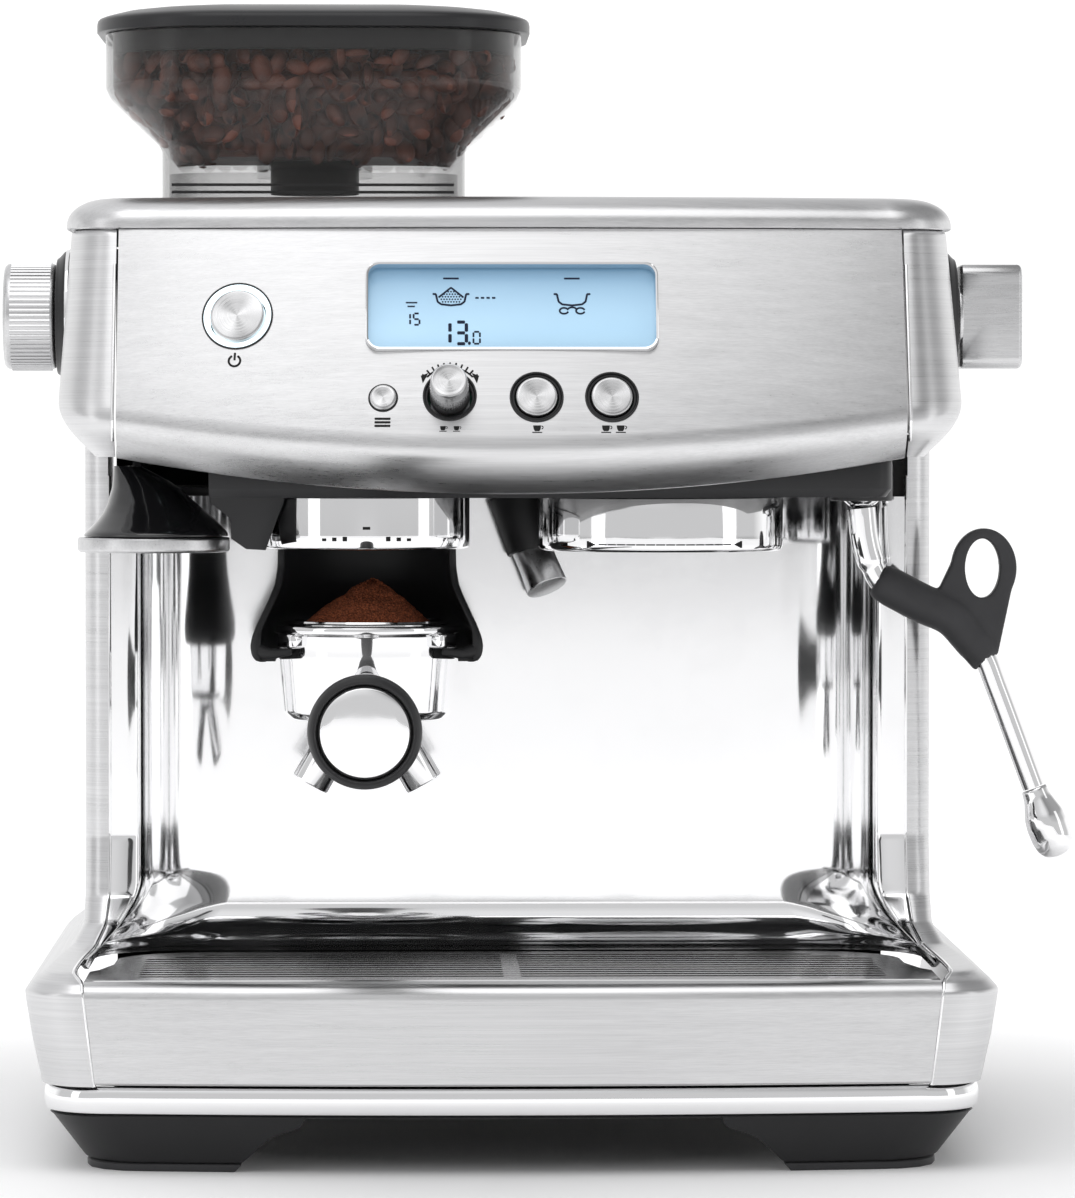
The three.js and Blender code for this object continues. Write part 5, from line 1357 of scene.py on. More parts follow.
def make_beans():
    coffee = bpy.context.scene.espresso_coffee
    places = bean_places(coffee.bean_spacing / MM, coffee.seed)
    mesh = bpy.data.meshes.new("coffee_beans")
    mesh.from_pydata((places * MM + np.array(CENTRE)).tolist(), [], [])
    made = bpy.data.objects.new("coffee_beans", mesh)
    bpy.context.scene.collection.objects.link(made)
    bean = bean_mesh(coffee.bean_length)
    tree = bpy.data.node_groups.new("coffee_beans_nodes", "GeometryNodeTree")
    graph = Graph(tree)
    sockets = {}
    for label, kind in (("Geometry", "NodeSocketGeometry"), ("Bean", "NodeSocketObject"),
                        ("Seed", "NodeSocketInt"), ("Material", "NodeSocketMaterial")):
        sockets[label] = tree.interface.new_socket(name=label, in_out="INPUT", socket_type=kind)
    tree.interface.new_socket(name="Geometry", in_out="OUTPUT", socket_type="NodeSocketGeometry")
    given = graph.node("NodeGroupInput")
    points = graph.node("GeometryNodeMeshToPoints", None, {"Mesh": given.outputs["Geometry"]})
    source = graph.node("GeometryNodeObjectInfo", {"transform_space": "ORIGINAL"},
                        {"Object": given.outputs["Bean"]})
    turn = graph.node("FunctionNodeRandomValue", {"data_type": "FLOAT_VECTOR"},
                      {0: (0, 0, 0), 1: (6.28, 6.28, 6.28), "Seed": given.outputs["Seed"]})
    size = graph.node("FunctionNodeRandomValue", {"data_type": "FLOAT"},
                      {2: 0.86, 3: 1.14, "Seed": given.outputs["Seed"]})
    instances = graph.node("GeometryNodeInstanceOnPoints", None, {
        "Points": points.outputs[0], "Instance": source.outputs["Geometry"],
        "Rotation": turn.outputs[0], "Scale": size.outputs[1]})
    real = graph.node("GeometryNodeRealizeInstances", None, {0: instances.outputs[0]})
    painted = graph.node("GeometryNodeSetMaterial", None,
                         {"Geometry": real.outputs[0], "Material": given.outputs["Material"]})
    output = graph.node("NodeGroupOutput")
    tree.links.new(painted.outputs[0], output.inputs[0])
    modifier = made.modifiers.new("beans", "NODES")
    modifier.node_group = tree
    for label, setting in {"Bean": bean, "Seed": coffee.seed, "Material": finishes()["bean"]}.items():
        modifier[sockets[label].identifier] = setting
    applied(made)
    bpy.data.objects.remove(bean)
    finish(made, "bean", "hopper", "smoked", angle=60)
    core = [hopper_loop(*hopper_at(z), z, inset) for z, inset in
            ((349, 13), (353, 13), (366, 13), (374, 13.5), (378.5, 15), (379.5, 22))]
    piece("bean_bed", loft(core), "bean", "hopper", "smoked", angle=60)


# ---- Grinder, cradle and portafilter ---------------------------------------------------------------

DOSE = (-49.8, -88.0)
GROUP = (53.0, -85.0)


def make_grinder():
    for node, material in (("grinder_motor", "steel"), ("upper_burr", "steel"), ("lower_burr", "steel"),
                           ("heater_block", "cast"), ("pump", "cast"), ("grinder_gearbox", "cast")):
        coat(node, material)
    low, high, radius = 210.5, 228.3, 35.9
    section = [(radius - 2.5, high), (radius - 2.5, low + 0.5), (radius - 2.0, low), (radius - 1.6, low - 0.0),
               (radius - 0.5, low + 0.35), (radius, low + 1.1), (radius, low + 5), (radius, high)]
    piece("grinder_shroud_fine", revolve(section, (*DOSE, 0), 160, closed=True), "chrome", "casing", "chrome",
          "grinder_shroud", angle=40)
    marks = []
    for side in (-1, 1):
        for index in range(3):
            turn = math.radians(-90 + side * (12 + 6 * index))
            marks.append(curved_mark(radius, turn, 213.6 + 0.0, 1.6, 1.6 - index * 0.3))
    marks.append(curved_mark(radius, math.radians(-90), 217.6, 2.6, 1.0))
    piece("shroud_marks", joined(*[(p + (*DOSE, 0), f) for p, f in marks]), "print", "casing", "black")


def curved_mark(radius, turn, z, width, height):
    """A small printed bar on a round wall."""
    half = width / 2 / radius
    turns = np.linspace(turn - half, turn + half, 5)
    loops = []
    for t in turns:
        across_wall = [(radius - 0.05, z), (radius + 0.06, z), (radius + 0.06, z + height),
                       (radius - 0.05, z + height)]
        loops.append([(r * math.cos(t), r * math.sin(t), h) for r, h in across_wall])
    return loft(loops)


def fork(outer, inner, arm, lean=0.0, steps=40):
    """A U in plan, open to the front, with rounded arm ends."""
    turns = np.linspace(0, math.pi, steps + 1)
    out = np.stack([outer * np.cos(turns), outer * np.sin(turns)], 1)
    ins = np.stack([inner * np.cos(turns), inner * np.sin(turns)], 1)[::-1]
    end = (outer - inner) / 2
    mid = (outer + inner) / 2
    left = arc((-mid, -arm), (end, end), 180, 360, 10)
    right = arc((mid, -arm), (end, end), 180, 360, 10)
    return np.concatenate([out, left, ins, right])


def make_cradle():
    levels = [(171.5, 37.2, 19), (171.8, 38.4, 19.6), (172.8, 39.4, 20), (174.5, 40.1, 20), (177, 40.4, 20),
              (180, 39.9, 20), (184, 38.4, 18), (189, 36.0, 15), (194, 33.7, 12), (198, 32.1, 9),
              (204, 31.2, 6), (214.3, 31.0, 5)]
    heights = np.unique(np.concatenate([np.linspace(171.5, 178, 16), np.linspace(178, 214.3, 30)]))
    track = smooth_track(levels, heights, 3.0)
    loops = []
    for z, (outer, arm) in zip(heights, track):
        inner = min(36.6, outer - 2.2 - 0.4 * min(1, (z - 171.5)))
        loops.append(raised(fork(outer, inner, arm), z) + (DOSE[0], DOSE[1], 0))
    shell = loft(loops)
    hooks = []
    for side in (-1, 1):
        line = [(DOSE[0] + side * 37.8, DOSE[1] - 19, 175.4), (DOSE[0] + side * 33.6, DOSE[1] - 20.6, 174.4),
                (DOSE[0] + side * 26.6, DOSE[1] - 21.2, 175.0)]
        hooks.append(tube(spline(line, 8), np.linspace(2.7, 1.2, 17), 16, round_ends=True))
        low, high = sorted((side * 31.7, side * 37.4))
        hooks.append(block((DOSE[0] + low, DOSE[1] - 20, 171.7), (DOSE[0] + high, DOSE[1] + 2, 175.4)))
    piece("grind_cradle_fine", joined(shell, *hooks), "charcoal", "casing", "black", "grind_cradle", angle=42)
    bracket = [(-78, 228.4), (-84.7, 210.6), (-91.4, 210.9), (-96.4, 214.6), (-96.4, 221.1), (-103.4, 226.4),
               (-103.4, 228.4)]
    slab = turned(extruded(bracket, 106.2, 114.9), Matrix.Rotation(math.pi / 2, 4, "X"))
    clear = revolve([(0, 200), (36.4, 200), (36.4, 240), (0, 240)], (*DOSE, 0), 128)
    piece("cradle_bracket", slab, "charcoal", "casing", "black", cuts=(clear,), soft=0.8)


def ear(degrees):
    shape = block((28, -4.5, 176.2), (35.2, 4.5, 181.4))
    return turned(shape, Matrix.Translation((*DOSE, 0)) @ Matrix.Rotation(math.radians(degrees), 4, "Z"))


def make_portafilter():
    section = rounded([(5, 151.2), (27, 151.0), (29.3, 153.4), (30.3, 166), (30.9, 173), (30.9, 180.6),
                       (32.6, 181), (33, 181.5), (33, 183.3), (32.4, 184), (27.6, 184), (27.4, 183.4),
                       (27.4, 155), (5, 154.2)], 0.8, 3)
    cup_wall = revolve(section + [section[0]], (*DOSE, 0), 128)
    neck = [(DOSE[0], DOSE[1] - 28, 159.4), (DOSE[0], DOSE[1] - 33, 159.2), (DOSE[0], DOSE[1] - 39.6, 158.5)]
    socket = tube(np.array(neck), [8.2, 8.1, 7.9], 40)
    piece("portafilter_body_fine", joined(cup_wall, socket), "chrome", "portafilter", "chrome",
          "portafilter_body", angle=40)
    piece("portafilter_ears", joined(*[ear(d) for d in (-145, -35, 90)]), "chrome", "portafilter",
          "chrome", soft=1.1)
    basket = [(0.8, 161.2), (24.6, 161.2), (26.4, 163), (26.8, 165), (26.8, 184.3), (28.6, 184.3),
              (28.9, 184.8), (28.6, 185.4), (26.4, 185.4), (26.1, 184.6), (26.1, 165), (24.4, 161.9),
              (0.8, 161.9)]
    piece("filter_basket_fine", revolve(basket, (*DOSE, 0), 96, closed=True), "mirror", "portafilter",
          "polished", "filter_basket")


def handle_matrix():
    start = Vector((DOSE[0], DOSE[1] - 30.9 - 9.4, 158.5))
    end = start + Vector((0, -132, -4))
    return facing((end - start).normalized(), start), (end - start).length


def make_handle():
    place, length = handle_matrix()
    section = [(0, 0), (8.2, 0), (8.9, 1.2), (9.8, 6), (10.4, 14), (11.2, length * 0.3), (12.6, length * 0.46),
               (14.6, length * 0.62), (16.6, length * 0.76), (17.7, length - 18), (18.5, length - 9),
               (18.6, length - 5.5), (18.3, length - 2.6), (17.5, length - 0.8), (16.8, length - 0.1),
               (16.2, length - 0.2), (15.8, length - 0.9), (15.6, length - 2), (15.6, length - 4.6),
               (0, length - 4.6)]
    piece("portafilter_handle_fine", turned(revolve(section, segments=120), place), "charcoal", "portafilter",
          "black", "portafilter_handle")
    cap = [(0, length - 4.4), (14.9, length - 4.4), (15.2, length - 3.6), (15.2, length - 2.0),
           (14.8, length - 1.4), (13.8, length - 0.95), (11, length - 0.6), (7, length - 0.3),
           (3, length - 0.15), (0, length - 0.1)]
    piece("handle_cap_fine", turned(revolve(cap, segments=120), place), "mirror", "portafilter", "chrome",
          "handle_cap")
    collar = revolve(ring_section(8.1, 9.9, -0.3, 3.2, 0.5), segments=80, closed=True)
    piece("handle_collar", turned(collar, place), "chrome", "portafilter", "chrome")


def make_spouts():
    x, y = DOSE
    hub = revolve([(0, 145.7), (10.2, 145.7), (11.8, 147), (12.4, 149), (12.4, 150.4), (0, 150.4)],
                  (x, y, 0), 64)
    made = mesh_object("portafilter_spout_fine", hub)
    aim = Vector((13, 0, -22.5)).normalized()
    bores = []
    for side in (-1, 1):
        way = Vector((side * aim.x, 0, aim.z))
        outlet = Vector((x + side * 20, y, 128.1))
        start = outlet - way * 21.6
        cut(made, tube(np.array([start, outlet - way * 0.5, outlet]), [6.8, 6.8, 6.5], 56), operation="UNION")
        bores.append(tube(np.array([outlet - way * 14, outlet + way]), 5.6, 40))
    cut(made, *bores)
    finish(made, "chrome", "portafilter", "chrome", "portafilter_spout", angle=40)


def make_grounds():
    """The heap in the basket: a cone with a rounded foot, roughened grain by grain."""
    seed = bpy.context.scene.espresso_coffee.seed
    rng = np.random.default_rng(seed)
    rings, sides, radius, peak = 46, 150, 25.6, 16.6
    points = []
    bumps = rng.random((rings + 1, sides))
    coarse = rng.random((12, 14))
    for i in range(rings + 1):
        r = radius * i / rings
        for j in range(sides):
            t = 2 * math.pi * j / sides
            u, v = (i / rings) * 11, (j / sides) * 14
            a, b = int(u) % 12, int(v) % 14
            fu, fv = u - int(u), v - int(v)
            low = coarse[a, b] * (1 - fv) + coarse[a, (b + 1) % 14] * fv
            high = coarse[min(a + 1, 11), b] * (1 - fv) + coarse[min(a + 1, 11), (b + 1) % 14] * fv
            rough = (low * (1 - fu) + high * fu - 0.5) * 1.3
            cone = peak * max(1 - r / 22.4, 0) ** 0.94
            cone = cone - 1.1 * math.exp(-(r / 3.2) ** 2)
            grain = (bumps[i, j] - 0.5) * 1.1
            fade = 1 if i else 0
            points.append((r * math.cos(t) + 1.9 * cone / peak + grain * 0.35 * fade, r * math.sin(t),
                           184.4 + cone + rough * (cone > 0.4) + grain * 0.8 * fade * (r < 24)))
    points = np.array(points) + (DOSE[0], DOSE[1], 0)
    faces = [(i * sides + j, i * sides + (j + 1) % sides,
              (i + 1) * sides + (j + 1) % sides, (i + 1) * sides + j)
             for i in range(rings) for j in range(sides)]
    points[:sides] = points[:sides].mean(0)
    foot = len(points)
    edge = points[rings * sides:(rings + 1) * sides].copy()
    edge[:, 2] = 181.5
    points = np.concatenate([points, edge])
    faces += [(rings * sides + j, rings * sides + (j + 1) % sides, foot + (j + 1) % sides, foot + j)
              for j in range(sides)]
    faces.append(tuple(foot + j for j in range(sides)))
    piece("ground_coffee_heap", (points, faces), "grounds", "portafilter", "black", angle=75)


# ---- Brewing group, hot water spout, tamper --------------------------------------------------------


COLLAR_RADIUS = 43.0


def make_group():
    x, y = GROUP
    low, high = 209.7, 228.3
    section = rounded([(12, 223.9), (35.6, 223.9), (36, 223.1), (36, low + 0.8), (36.8, low), (41.6, low),
                       (42.6, low + 0.8), (COLLAR_RADIUS, low + 2), (COLLAR_RADIUS, high), (12, high)], 0.3, 2)
    ring = revolve(section + [section[0]], (x, y, 0), 160)
    lugs = [turned(block((33.5, -9, low + 1.4), (37.5, 9, low + 4.2)),
                   Matrix.Translation((x, y, 0)) @ Matrix.Rotation(math.radians(d), 4, "Z"))
            for d in (-90, 30, 150)]
    piece("group_head_fine", joined(ring, *lugs), "chrome", "casing", "chrome", "group_head", angle=40)
    screen = [(0, 220.3), (24, 220.2), (26.6, 220.5), (27, 221.3), (26.6, 222.7), (25, 223.2), (0, 223.2)]
    made = mesh_object("shower_screen_fine", revolve(screen, (x, y, 0), 96))
    finish(made, "satin", "casing", "steel", "shower_screen")
    # Painted shade: small dark discs sit just below the screen where its holes are, standing in for the shade
    # inside the holes.
    holes = []
    for ring_index, count in enumerate((6, 12, 18, 24, 30)):
        for j in range(count):
            t = 2 * math.pi * j / count
            r = 4.2 * (ring_index + 1)
            holes.append(revolve([(0, 220.12), (0.7, 220.15), (0.7, 220.6), (0, 220.6)],
                                 (x + r * math.cos(t), y + r * math.sin(t), 0), 8))
    piece("shower_holes", joined(*holes), "dark", "casing", "black")
    marks = [curved_mark(COLLAR_RADIUS, math.radians(-90 - 30 + 60 * i / 13), 212.2, 3.2, 0.45)
             for i in range(14)]
    for start, direction in ((-128, 1), (-52, -1)):
        for index in range(4):
            t = math.radians(start + direction * index * 1.1)
            marks.append(curved_mark(COLLAR_RADIUS, t, 211.2 + index * 0.3, 0.9, 2.4 - index * 0.6))
    piece("collar_marks", joined(*[(p + (x, y, 0), f) for p, f in marks]), "print", "casing", "black")


def make_water_spout():
    top = Vector((6, -44, 228.1))
    low = top + Vector((3, -4, -20))
    cone = tube(np.array([top, top.lerp(low, 0.5), low]), [13, 11, 9], 56)
    tip_end = low + Vector((5.2, -5.0, -12.5))
    start = low.lerp(tip_end, -0.2)
    piece("hot_water_spout_fine", cone, "charcoal", "casing", "black", "hot_water_spout", soft=0.6)
    tip = tube(np.array([start, low.lerp(tip_end, 0.35), tip_end]), [7.4, 7.3, 7.6], 56)
    made = mesh_object("water_spout_tip", tip)
    softened(made, 0.6)
    finish(made, "satin", "casing", "satin")


def make_tamper():
    x, y, low = -123.9, -98.0, 209.5
    disc = rounded([(0, low), (25.6, low), (26.4, low + 0.8), (26.4, low + 4.5), (26.0, low + 5.1),
                    (0, low + 5.1)], 0.4, 3)
    piece("tamper_disc_fine", revolve(disc, (x, y, 0), 128), "satin", "tamper", "satin", "tamper_disc",
          angle=40)
    levels = [(0, 24.9, 0.8), (0.4, 25.2, 0.8), (1.5, 24.6, 1), (3.4, 22.6, 1), (5.6, 20.6, 1),
              (8.2, 18.1, 0.4), (11, 15.8, -0.5), (16.8, 11.8, -2.7), (21.5, 8, -6), (24.4, 5.0, -8.8)]
    heights = np.concatenate([np.linspace(0, 3, 12), np.linspace(3.4, 24.4, 40)])
    track = smooth_track(levels, heights, 2.0)
    turns = np.linspace(0, 2 * math.pi, 96, endpoint=False)
    loops = []
    for up, (radius, aside) in zip(heights, track):
        loops.append(np.stack([x + aside + radius * np.cos(turns), y + radius * np.sin(turns),
                               np.full(96, low + 5.5 + up)], 1))
    piece("tamper_handle_fine", loft(loops), "gloss", "tamper", "gloss_black", "tamper_handle", angle=50)


# ---- Steam wand ------------------------------------------------------------------------------------

WAND = (123.5, -86.0)
BALL_Z = 232.0
WAND_LINE = [(0, 226), (1.2, 214), (3.6, 205), (7.2, 198.5), (21.5, 191), (31.7, 186.4), (37.6, 179.8),
             (43.4, 172.4), (48, 161), (60.8, 126.5)]
LOOP = (166.6, 203.4, 11.5, 14.0, 6.1, 10.4, 6.0)


def wand_points(start, stop):
    return [(WAND[0] + x, WAND[1], z) for x, z in WAND_LINE[start:stop]]


def make_wand():
    ball = [(0, BALL_Z - 7.4)]
    for turn in np.radians(np.linspace(-66, 62, 24)):
        ball.append((8 * math.cos(turn), BALL_Z + 8 * math.sin(turn)))
    ball.append((0, BALL_Z + 7))
    piece("wand_ball_fine", revolve(ball, (*WAND, 0), 72), "chrome", "steam_wand", "steel", "wand_ball")
    collar = ring_section(8.5, 11.0, 0, 13, 0.5)
    piece("wand_collar_fine", revolve([(r, BALL_Z + 8 - z) for r, z in collar], (*WAND, 0), 80, closed=True),
          "dark", "wand_swivel", "black", "wand_collar")
    line = spline([(WAND[0], WAND[1], BALL_Z - 7.6), *wand_points(1, None)], 12)
    radii = np.interp(line[:, 2], (126, 160, 190, 204, 205.5, 222), (4.0, 4.0, 4.1, 4.1, 4.8, 5.0))
    piece("wand_tube_fine", tube(line, radii, 40), "chrome", "steam_wand", "chrome", "wand_tube", angle=60)

    bend, end = (Vector(point) for point in wand_points(-2, None))
    aim = (end - bend).normalized()
    tip = rounded([(0, 0.4), (4.3, 0.4), (4.7, 1.2), (4.9, 4), (6.0, 7.5), (7.1, 10.6), (7.5, 14), (7.3, 19),
                   (6.4, 22.6), (4.6, 24.9), (2.4, 25.8), (0, 26)], 1.0, 3)
    piece("wand_tip_fine", turned(revolve(tip, segments=96), facing(aim, end)), "chrome", "steam_wand",
          "chrome", "wand_tip")

    sleeve = spline(wand_points(3, 8), 14)
    radii = np.interp(np.linspace(0, 1, len(sleeve)), (0, 0.06, 0.5, 0.85, 1), (6.5, 6.9, 7.0, 6.5, 5.5))
    x, z, half_x, half_z, hole_x, hole_z, thick = LOOP

    def slab(outline, deep):
        shape = extruded(outline, -deep / 2, deep / 2)
        return turned(shape, Matrix.Translation((0, WAND[1], 0)) @ Matrix.Rotation(math.pi / 2, 4, "X"))

    web = [(WAND[0] + 23, 187), (WAND[0] + 40, 167.5), (WAND[0] + 47.5, 170.5), (x + half_x - 0.8, z - 3),
           (x - half_x + 2, z + 6)]
    made = mesh_object("wand_grip_fine", joined(
        tube(sleeve, radii, 40, round_ends=True), slab(arc((x, z), (half_x, half_z), 0, 354, 59), thick),
        slab(web, thick)))
    remesh = made.modifiers.new("skin", "REMESH")
    remesh.mode, remesh.voxel_size = "VOXEL", 0.55 * MM
    smooth = made.modifiers.new("soften", "SMOOTH")
    smooth.factor, smooth.iterations = 0.5, 10
    applied(made)
    cut(made, slab(arc((x - 0.6, z), (hole_x, hole_z), 0, 354, 59), thick * 3),
        tube(spline(wand_points(1, None), 12), 4.6, 32))
    again = made.modifiers.new("skin", "REMESH")
    again.mode, again.voxel_size = "VOXEL", 0.5 * MM
    smooth = made.modifiers.new("soften", "SMOOTH")
    smooth.factor, smooth.iterations = 0.5, 5
    applied(made)
    finish(made, "silicone", "steam_wand", "rubber", "wand_grip", angle=70)


# ---- Side knobs ------------------------------------------------------------------------------------

SIDE_DIAL = (-40.0, 292.3)


def side_place(sign):
    return facing((sign, 0, 0), (0, *SIDE_DIAL))


def make_side_knobs():
    face = max(abs(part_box("steam_dial_flange")[0].x - CENTRE.x), 0.15) / MM
    for sign, name, node in ((-1, "grind_dial_flange_fine", "grind_dial_flange"),
                             (1, "steam_dial_flange_fine", "steam_dial_flange")):
        section = rounded([(6, face), (23.3, face), (23.6, face + 0.6), (23.0, face + 1.6), (21.2, face + 3.2),
                           (20.4, face + 4.3), (6, face + 4.3)], 0.3, 2)
        flange = revolve(section + [section[0]], segments=120)
        piece(name, turned(flange, side_place(sign)), "dark", "casing", "chrome", node)
        lip = revolve(ring_section(22.9, 24.0, face - 0.2, face + 0.9, 0.35), segments=120, closed=True)
        piece(node + "_lip", turned(lip, side_place(sign)), "chrome", "casing", "chrome")
    start = face + 4.8
    place = side_place(-1)
    knob = rounded([(0, face - 12), (5, face - 12), (5, start), (18.4, start), (18.9, start + 1.2),
                    (18.9, 176.6), (18.6, 178), (17.4, 179), (15.6, 178.6), (14.6, 178.0), (0, 177.9)], 0.5, 3)
    piece("grind_size_dial_fine", turned(revolve(knob, segments=128), place), "knob", "grind_size_dial",
          "satin", "grind_size_dial", angle=40)
    ribs = ribbed(bpy.context.scene.espresso_controls.knurls, 18.85, start + 1.4, 176.4, 0.62, 0.4, place,
                  "grind_knob_ribs", "knob")
    finish(ribs, "knob", "grind_size_dial", "satin", angle=30)
    place = side_place(1)
    hub = revolve(rounded([(0, face - 12), (5, face - 12), (5, start), (11, start), (11.5, start + 0.8),
                           (11.2, start + 2), (0, start + 2)], 0.3, 2), segments=96)
    bar = loft([raised(rounded_rectangle(18.6 - inset, 8.5 - inset, 4.0, 10), x)
                for inset, x in ((0.7, start + 1), (0, start + 1.9), (0, 182.6), (0.35, 183.4), (1.2, 184.0),
                                 (2.0, 184.0))])
    bar = turned(bar, place @ Matrix.Rotation(math.pi / 2, 4, "Z"))
    made = mesh_object("steam_lever_fine", bar)
    cut(made, turned(hub, place), operation="UNION")
    finish(made, "knob", "steam_lever", "satin", "steam_lever", angle=40)


# ---- Tray and grid ---------------------------------------------------------------------------------


def make_tray():
    refined("drip_tray", "charcoal", "drip_tray", "black", 0.8)
    loops = []
    for t in np.linspace(-1, 1, 61):
        y = BASE_FRONT - 3 + 7 * t * t
        foot, top = 141.4 * t, 145.3 * t
        outer = [(-0.2, 30.7), (-1.0, 31.4), (-1.0, 45), (-0.6, 56)]
        outer += [(4.6 - 5.2 * math.cos(a), 59.6 + 5.4 * math.sin(a))
                  for a in np.radians(np.linspace(0, 90, 15))]
        section = [(-153.2 - y, 30.7)] + outer + [(-158.6 - y, 65.2), (-158.6 - y, 58), (-153.2 - y, 45)]
        loop = []
        for out, z in section:
            x = foot + (top - foot) * min(max((z - 31) / 32, 0), 1)
            loop.append((x, max(y + out, BASE_FRONT - 3.9), z))
        loops.append(loop)
    piece("drip_tray_front_fine", loft(loops), "fascia", "drip_tray", "brushed", "drip_tray_front", angle=35)


def grid_outline(inset=0.0):
    corner, half, back = 34.0 - inset, 138.6 - inset, -47.0 - inset
    right = [(142.6 - inset, -158 + inset), (145.6 - inset, -155 + inset), (145.6 - inset, -124),
             (142.6 - inset, -117), (half, -96)]
    turn = np.radians(np.linspace(0, 90, 13))[1:]
    curve = [(half - corner * (1 - math.cos(t)), back - corner * (1 - math.sin(t))) for t in turn]
    right = np.array(right + curve)
    return np.concatenate([[(0, -158 + inset)], right, right[::-1] * (-1, 1)])


def make_grid():
    low, high = 63.1, 65.5
    plate = loft([raised(grid_outline(0.3), low), raised(grid_outline(0), low + 0.4),
                  raised(grid_outline(0), high - 0.7), raised(grid_outline(0.5), high)])
    slots, ribs = [], []
    pitch = (-47 + 158 - 20) / 11
    for i in range(11):
        y = -158 + 12 + pitch * i
        reach = 128 - max(0, i - 8) * 10
        slots.append(extruded(rounded_rectangle(reach, 2.0, 1.95, 6, (0, y + 2)), 60, 70))
        ribs.append((y + 2 + pitch / 2, reach))
    made = mesh_object("drip_grid_fine", plate)
    cut(made, joined(*slots))
    bridge = block((-3, -150, low + 0.3), (3, -56, high - 0.05))
    cut(made, bridge, operation="UNION")
    finish(made, "grid", "drip_grid", "satin", "drip_grid", angle=35)


# ---- Water tank ------------------------------------------------------------------------------------


def tank_outline(inset=0.0):
    return plan(126 - inset, 113.2 + inset, 171.5 - inset, 0, 6 - min(inset, 4), 20 - inset, 12)


def make_tank():
    outside = [(2.4, 30), (1.0, 31), (0.4, 34), (0, 38), (0, 317.4), (0.5, 318)]
    inside = [(2.1, 318), (2.5, 317.2), (2.5, 40), (4.5, 32.5)]
    shell = loft([raised(tank_outline(inset), z) for inset, z in outside + inside])
    piece("water_tank_fine", shell, "tank", "water_tank", "smoked", "water_tank", angle=40)
    refined("tank_lid", "charcoal", "tank_lid", "black", 0.8)


# ---- Studio ----------------------------------------------------------------------------------------

EYE = Vector((-40, -2200, 255))
AIM = (math.atan((537.5 - 395) / 6035), math.atan((599 - 421) / 6035))
LENS = 36 * 6035 / 1198


def area_light(name, place, target, size, power, shade=(1, 1, 1)):
    data = bpy.data.lights.new(name, "AREA")
    data.shape, data.size, data.size_y, data.energy, data.color = "RECTANGLE", *size, power, shade
    made = bpy.data.objects.new(name, data)
    bpy.context.scene.collection.objects.link(made)
    made.location = place
    made.rotation_euler = (Vector(target) - Vector(place)).to_track_quat("-Z", "Y").to_euler()
    return made


def make_studio():
    studio = bpy.context.scene.espresso_studio
    data = bpy.data.cameras.new("camera")
    data.lens, data.sensor_width, data.sensor_fit = LENS, 36, "AUTO"
    data.clip_start, data.clip_end = 0.05, 50
    camera = bpy.data.objects.new("camera", data)
    bpy.context.scene.collection.objects.link(camera)
    camera.location = CENTRE + EYE * MM
    yaw, pitch = AIM
    forward = Vector((math.sin(yaw) * math.cos(pitch), math.cos(yaw) * math.cos(pitch), -math.sin(pitch)))
    camera.rotation_euler = forward.to_track_quat("-Z", "Y").to_euler()
    bpy.context.scene.camera = camera

    world = bpy.data.worlds.new("studio")
    world.use_nodes = True
    graph = Graph(world.node_tree)
    world.node_tree.nodes.clear()
    direction = graph.node("ShaderNodeTexCoord").outputs["Generated"]
    parts = graph.node("ShaderNodeSeparateXYZ", None, {0: direction})
    aside, depth, height = (Value(graph, parts.outputs[i]) for i in range(3))

    def ramp(factor, *stops):
        greys = [(at, (shade, shade, shade * 1.01)) for at, shade in stops]
        return graph.node("ShaderNodeValToRGB", {"stops": greys}, {"Fac": factor}).outputs[0]

    def blend(factor, first, second):
        node = graph.node("ShaderNodeMix", {"data_type": "RGBA"}, {0: factor, 6: first, 7: second})
        return node.outputs[2]

    around = ramp(aside.math("ABSOLUTE"), (0.0, 1.0), (0.1, 1.0), (0.26, 0.42), (0.5, 0.2), (0.8, 0.08),
                  (1.0, 0.1))
    above = ramp(aside * 0.5 + 0.5, (0.0, 0.6), (0.36, 0.84), (0.5, 0.76), (0.66, 0.26), (1.0, 0.4))
    horizon = blend(height.between(-0.06, -0.015), around, (0.58, 0.58, 0.585, 1))
    low = blend(depth.between(0.1, 0.35), horizon, (1, 1, 1, 1))
    whole = blend(height.between(0.22, 0.5), low, above)
    sky = graph.node("ShaderNodeBackground", None, {"Color": whole, "Strength": studio.room})
    output = graph.node("ShaderNodeOutputWorld")
    world.node_tree.links.new(sky.outputs[0], output.inputs[0])
    bpy.context.scene.world = world
    bpy.context.scene.view_settings.view_transform = "Standard"

    middle = CENTRE + Vector((0, 0, 0.2))
    area_light("overhead", (0, -0.7, 1.7), middle, (1.6, 1.2), studio.key)
    area_light("left_side", (-1.6, -0.9, 0.7), middle, (0.5, 1.4), studio.side)
    area_light("right_side", (1.7, -0.8, 0.7), middle, (0.5, 1.4), studio.side)

    floor_mesh = bpy.data.meshes.new("floor")
    edge = 6.0
    floor_mesh.from_pydata([(-edge, -edge, 0), (edge, -edge, 0), (edge, edge, 0), (-edge, edge, 0)], [],
                           [(0, 1, 2, 3)])
    floor = bpy.data.objects.new("floor", floor_mesh)
    bpy.context.scene.collection.objects.link(floor)
    paper = Finish("floor_paper", Base_Color=(0.96, 0.96, 0.962), Roughness=0.7, Emission_Strength=0.42)
    vector = paper.place()
    x, y = paper.axis(vector, 0), paper.axis(vector, 1)
    # The floor glows an even white far from the machine; the glow fades to none between 460 mm and 130 mm from
    # its centre, a painted shadow round the machine on top of its real shade.
    painted_shadow_fade = ((x * x + y * y).math("SQRT") - 130).between(0, 330)
    paper.set(Emission_Color=paper.mix(painted_shadow_fade, (0, 0, 0), (1, 1, 1)))
    floor_mesh.materials.append(paper.material)


# ---- Operators -------------------------------------------------------------------------------------


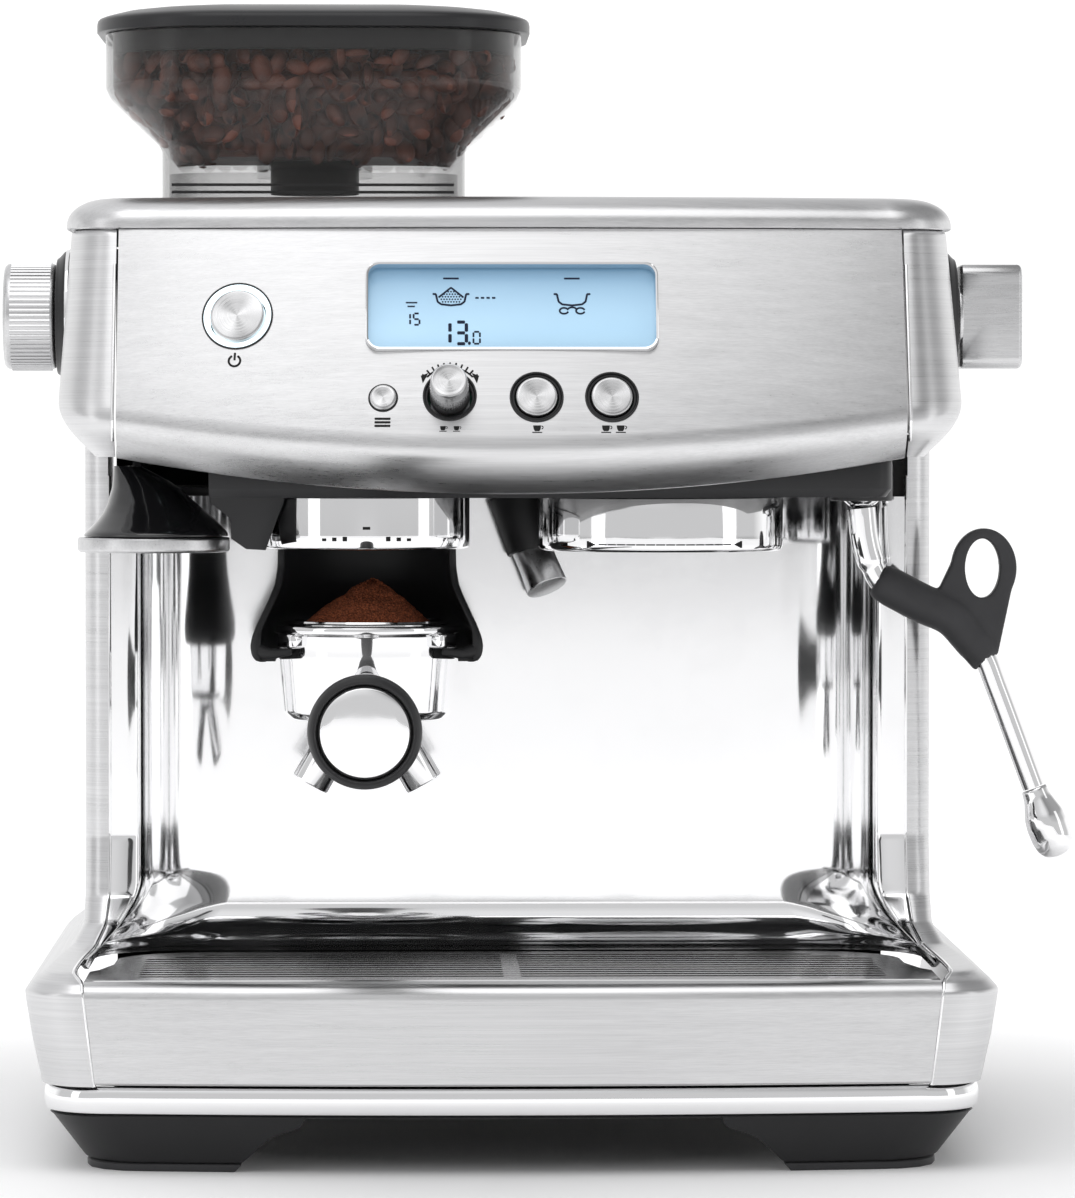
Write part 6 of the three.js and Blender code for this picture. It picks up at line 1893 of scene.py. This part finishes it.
def operator(name, label, about, *makers):
    """An operator that runs the makers of one piece or group of pieces."""

    def execute(self, context):
        for make in makers:
            make()
        return {"FINISHED"}

    return type("ESPRESSO_OT_" + name, (bpy.types.Operator,), {
        "bl_idname": "espresso." + name, "bl_label": label, "__doc__": about, "execute": execute,
    })


OPERATORS = [
    operator("stage", "Studio", "Set up the camera, lights and floor", make_studio),
    operator("base", "Base", "Make the plinth, feet and chrome trim", make_base, make_trim),
    operator("casing", "Casing", "Make the side panels, cup bay and rear cover", make_side_panels, make_bay,
             make_rear),
    operator("head", "Head", "Make the fascia, cheeks, cover and underside", make_fascia, make_cheeks,
             make_cover, make_underside),
    operator("controls", "Controls", "Make the buttons, dial, display and printed marks", make_buttons,
             make_dial, make_display, make_panel_marks),
    operator("hopper", "Hopper", "Make the hopper, its lid and lock", make_hopper, make_hopper_lid),
    operator("beans", "Beans", "Fill the hopper with beans", make_beans),
    operator("grinder", "Grinder", "Make the shroud and finish the grinder's inner pieces", make_grinder),
    operator("cradle", "Cradle", "Make the dosing cradle", make_cradle),
    operator("portafilter", "Portafilter", "Make the portafilter, handle and spouts", make_portafilter,
             make_handle, make_spouts),
    operator("grounds", "Ground coffee", "Heap ground coffee in the basket", make_grounds),
    operator("group", "Brewing group", "Make the group collar, screen and water spout", make_group,
             make_water_spout),
    operator("tamper", "Tamper", "Make the stored tamper", make_tamper),
    operator("wand", "Steam wand", "Make the steam wand with its grip", make_wand),
    operator("knobs", "Side knobs", "Make the grind size knob and the steam lever", make_side_knobs),
    operator("tray", "Drip tray", "Make the tray, its front and the grid", make_tray, make_grid),
    operator("tank", "Water tank", "Make the water tank and its lid", make_tank),
]


class ESPRESSO_PT_panel(bpy.types.Panel):
    """Lists the pieces of the espresso machine."""

    bl_label = "Espresso machine"
    bl_idname = "ESPRESSO_PT_panel"
    bl_space_type = "VIEW_3D"
    bl_region_type = "UI"
    bl_category = "Espresso"

    def draw(self, context):
        for name, group in GROUPS.items():
            box = self.layout.box()
            box.label(text=group.__doc__)
            for key in group.__annotations__:
                box.prop(getattr(context.scene, name), key)
        for made in OPERATORS:
            self.layout.operator(made.bl_idname)


def register():
    for group in GROUPS.values():
        bpy.utils.register_class(group)
    for name, group in GROUPS.items():
        setattr(bpy.types.Scene, name, PointerProperty(type=group))
    for made in OPERATORS:
        bpy.utils.register_class(made)
    bpy.utils.register_class(ESPRESSO_PT_panel)


def unregister():
    bpy.utils.unregister_class(ESPRESSO_PT_panel)
    for made in reversed(OPERATORS):
        bpy.utils.unregister_class(made)
    for name in GROUPS:
        delattr(bpy.types.Scene, name)
    for group in reversed(list(GROUPS.values())):
        bpy.utils.unregister_class(group)


def main():
    register()
    for made in OPERATORS:
        section, name = made.bl_idname.split(".")
        getattr(getattr(bpy.ops, section), name)()


if __name__ == "__main__":
    main()
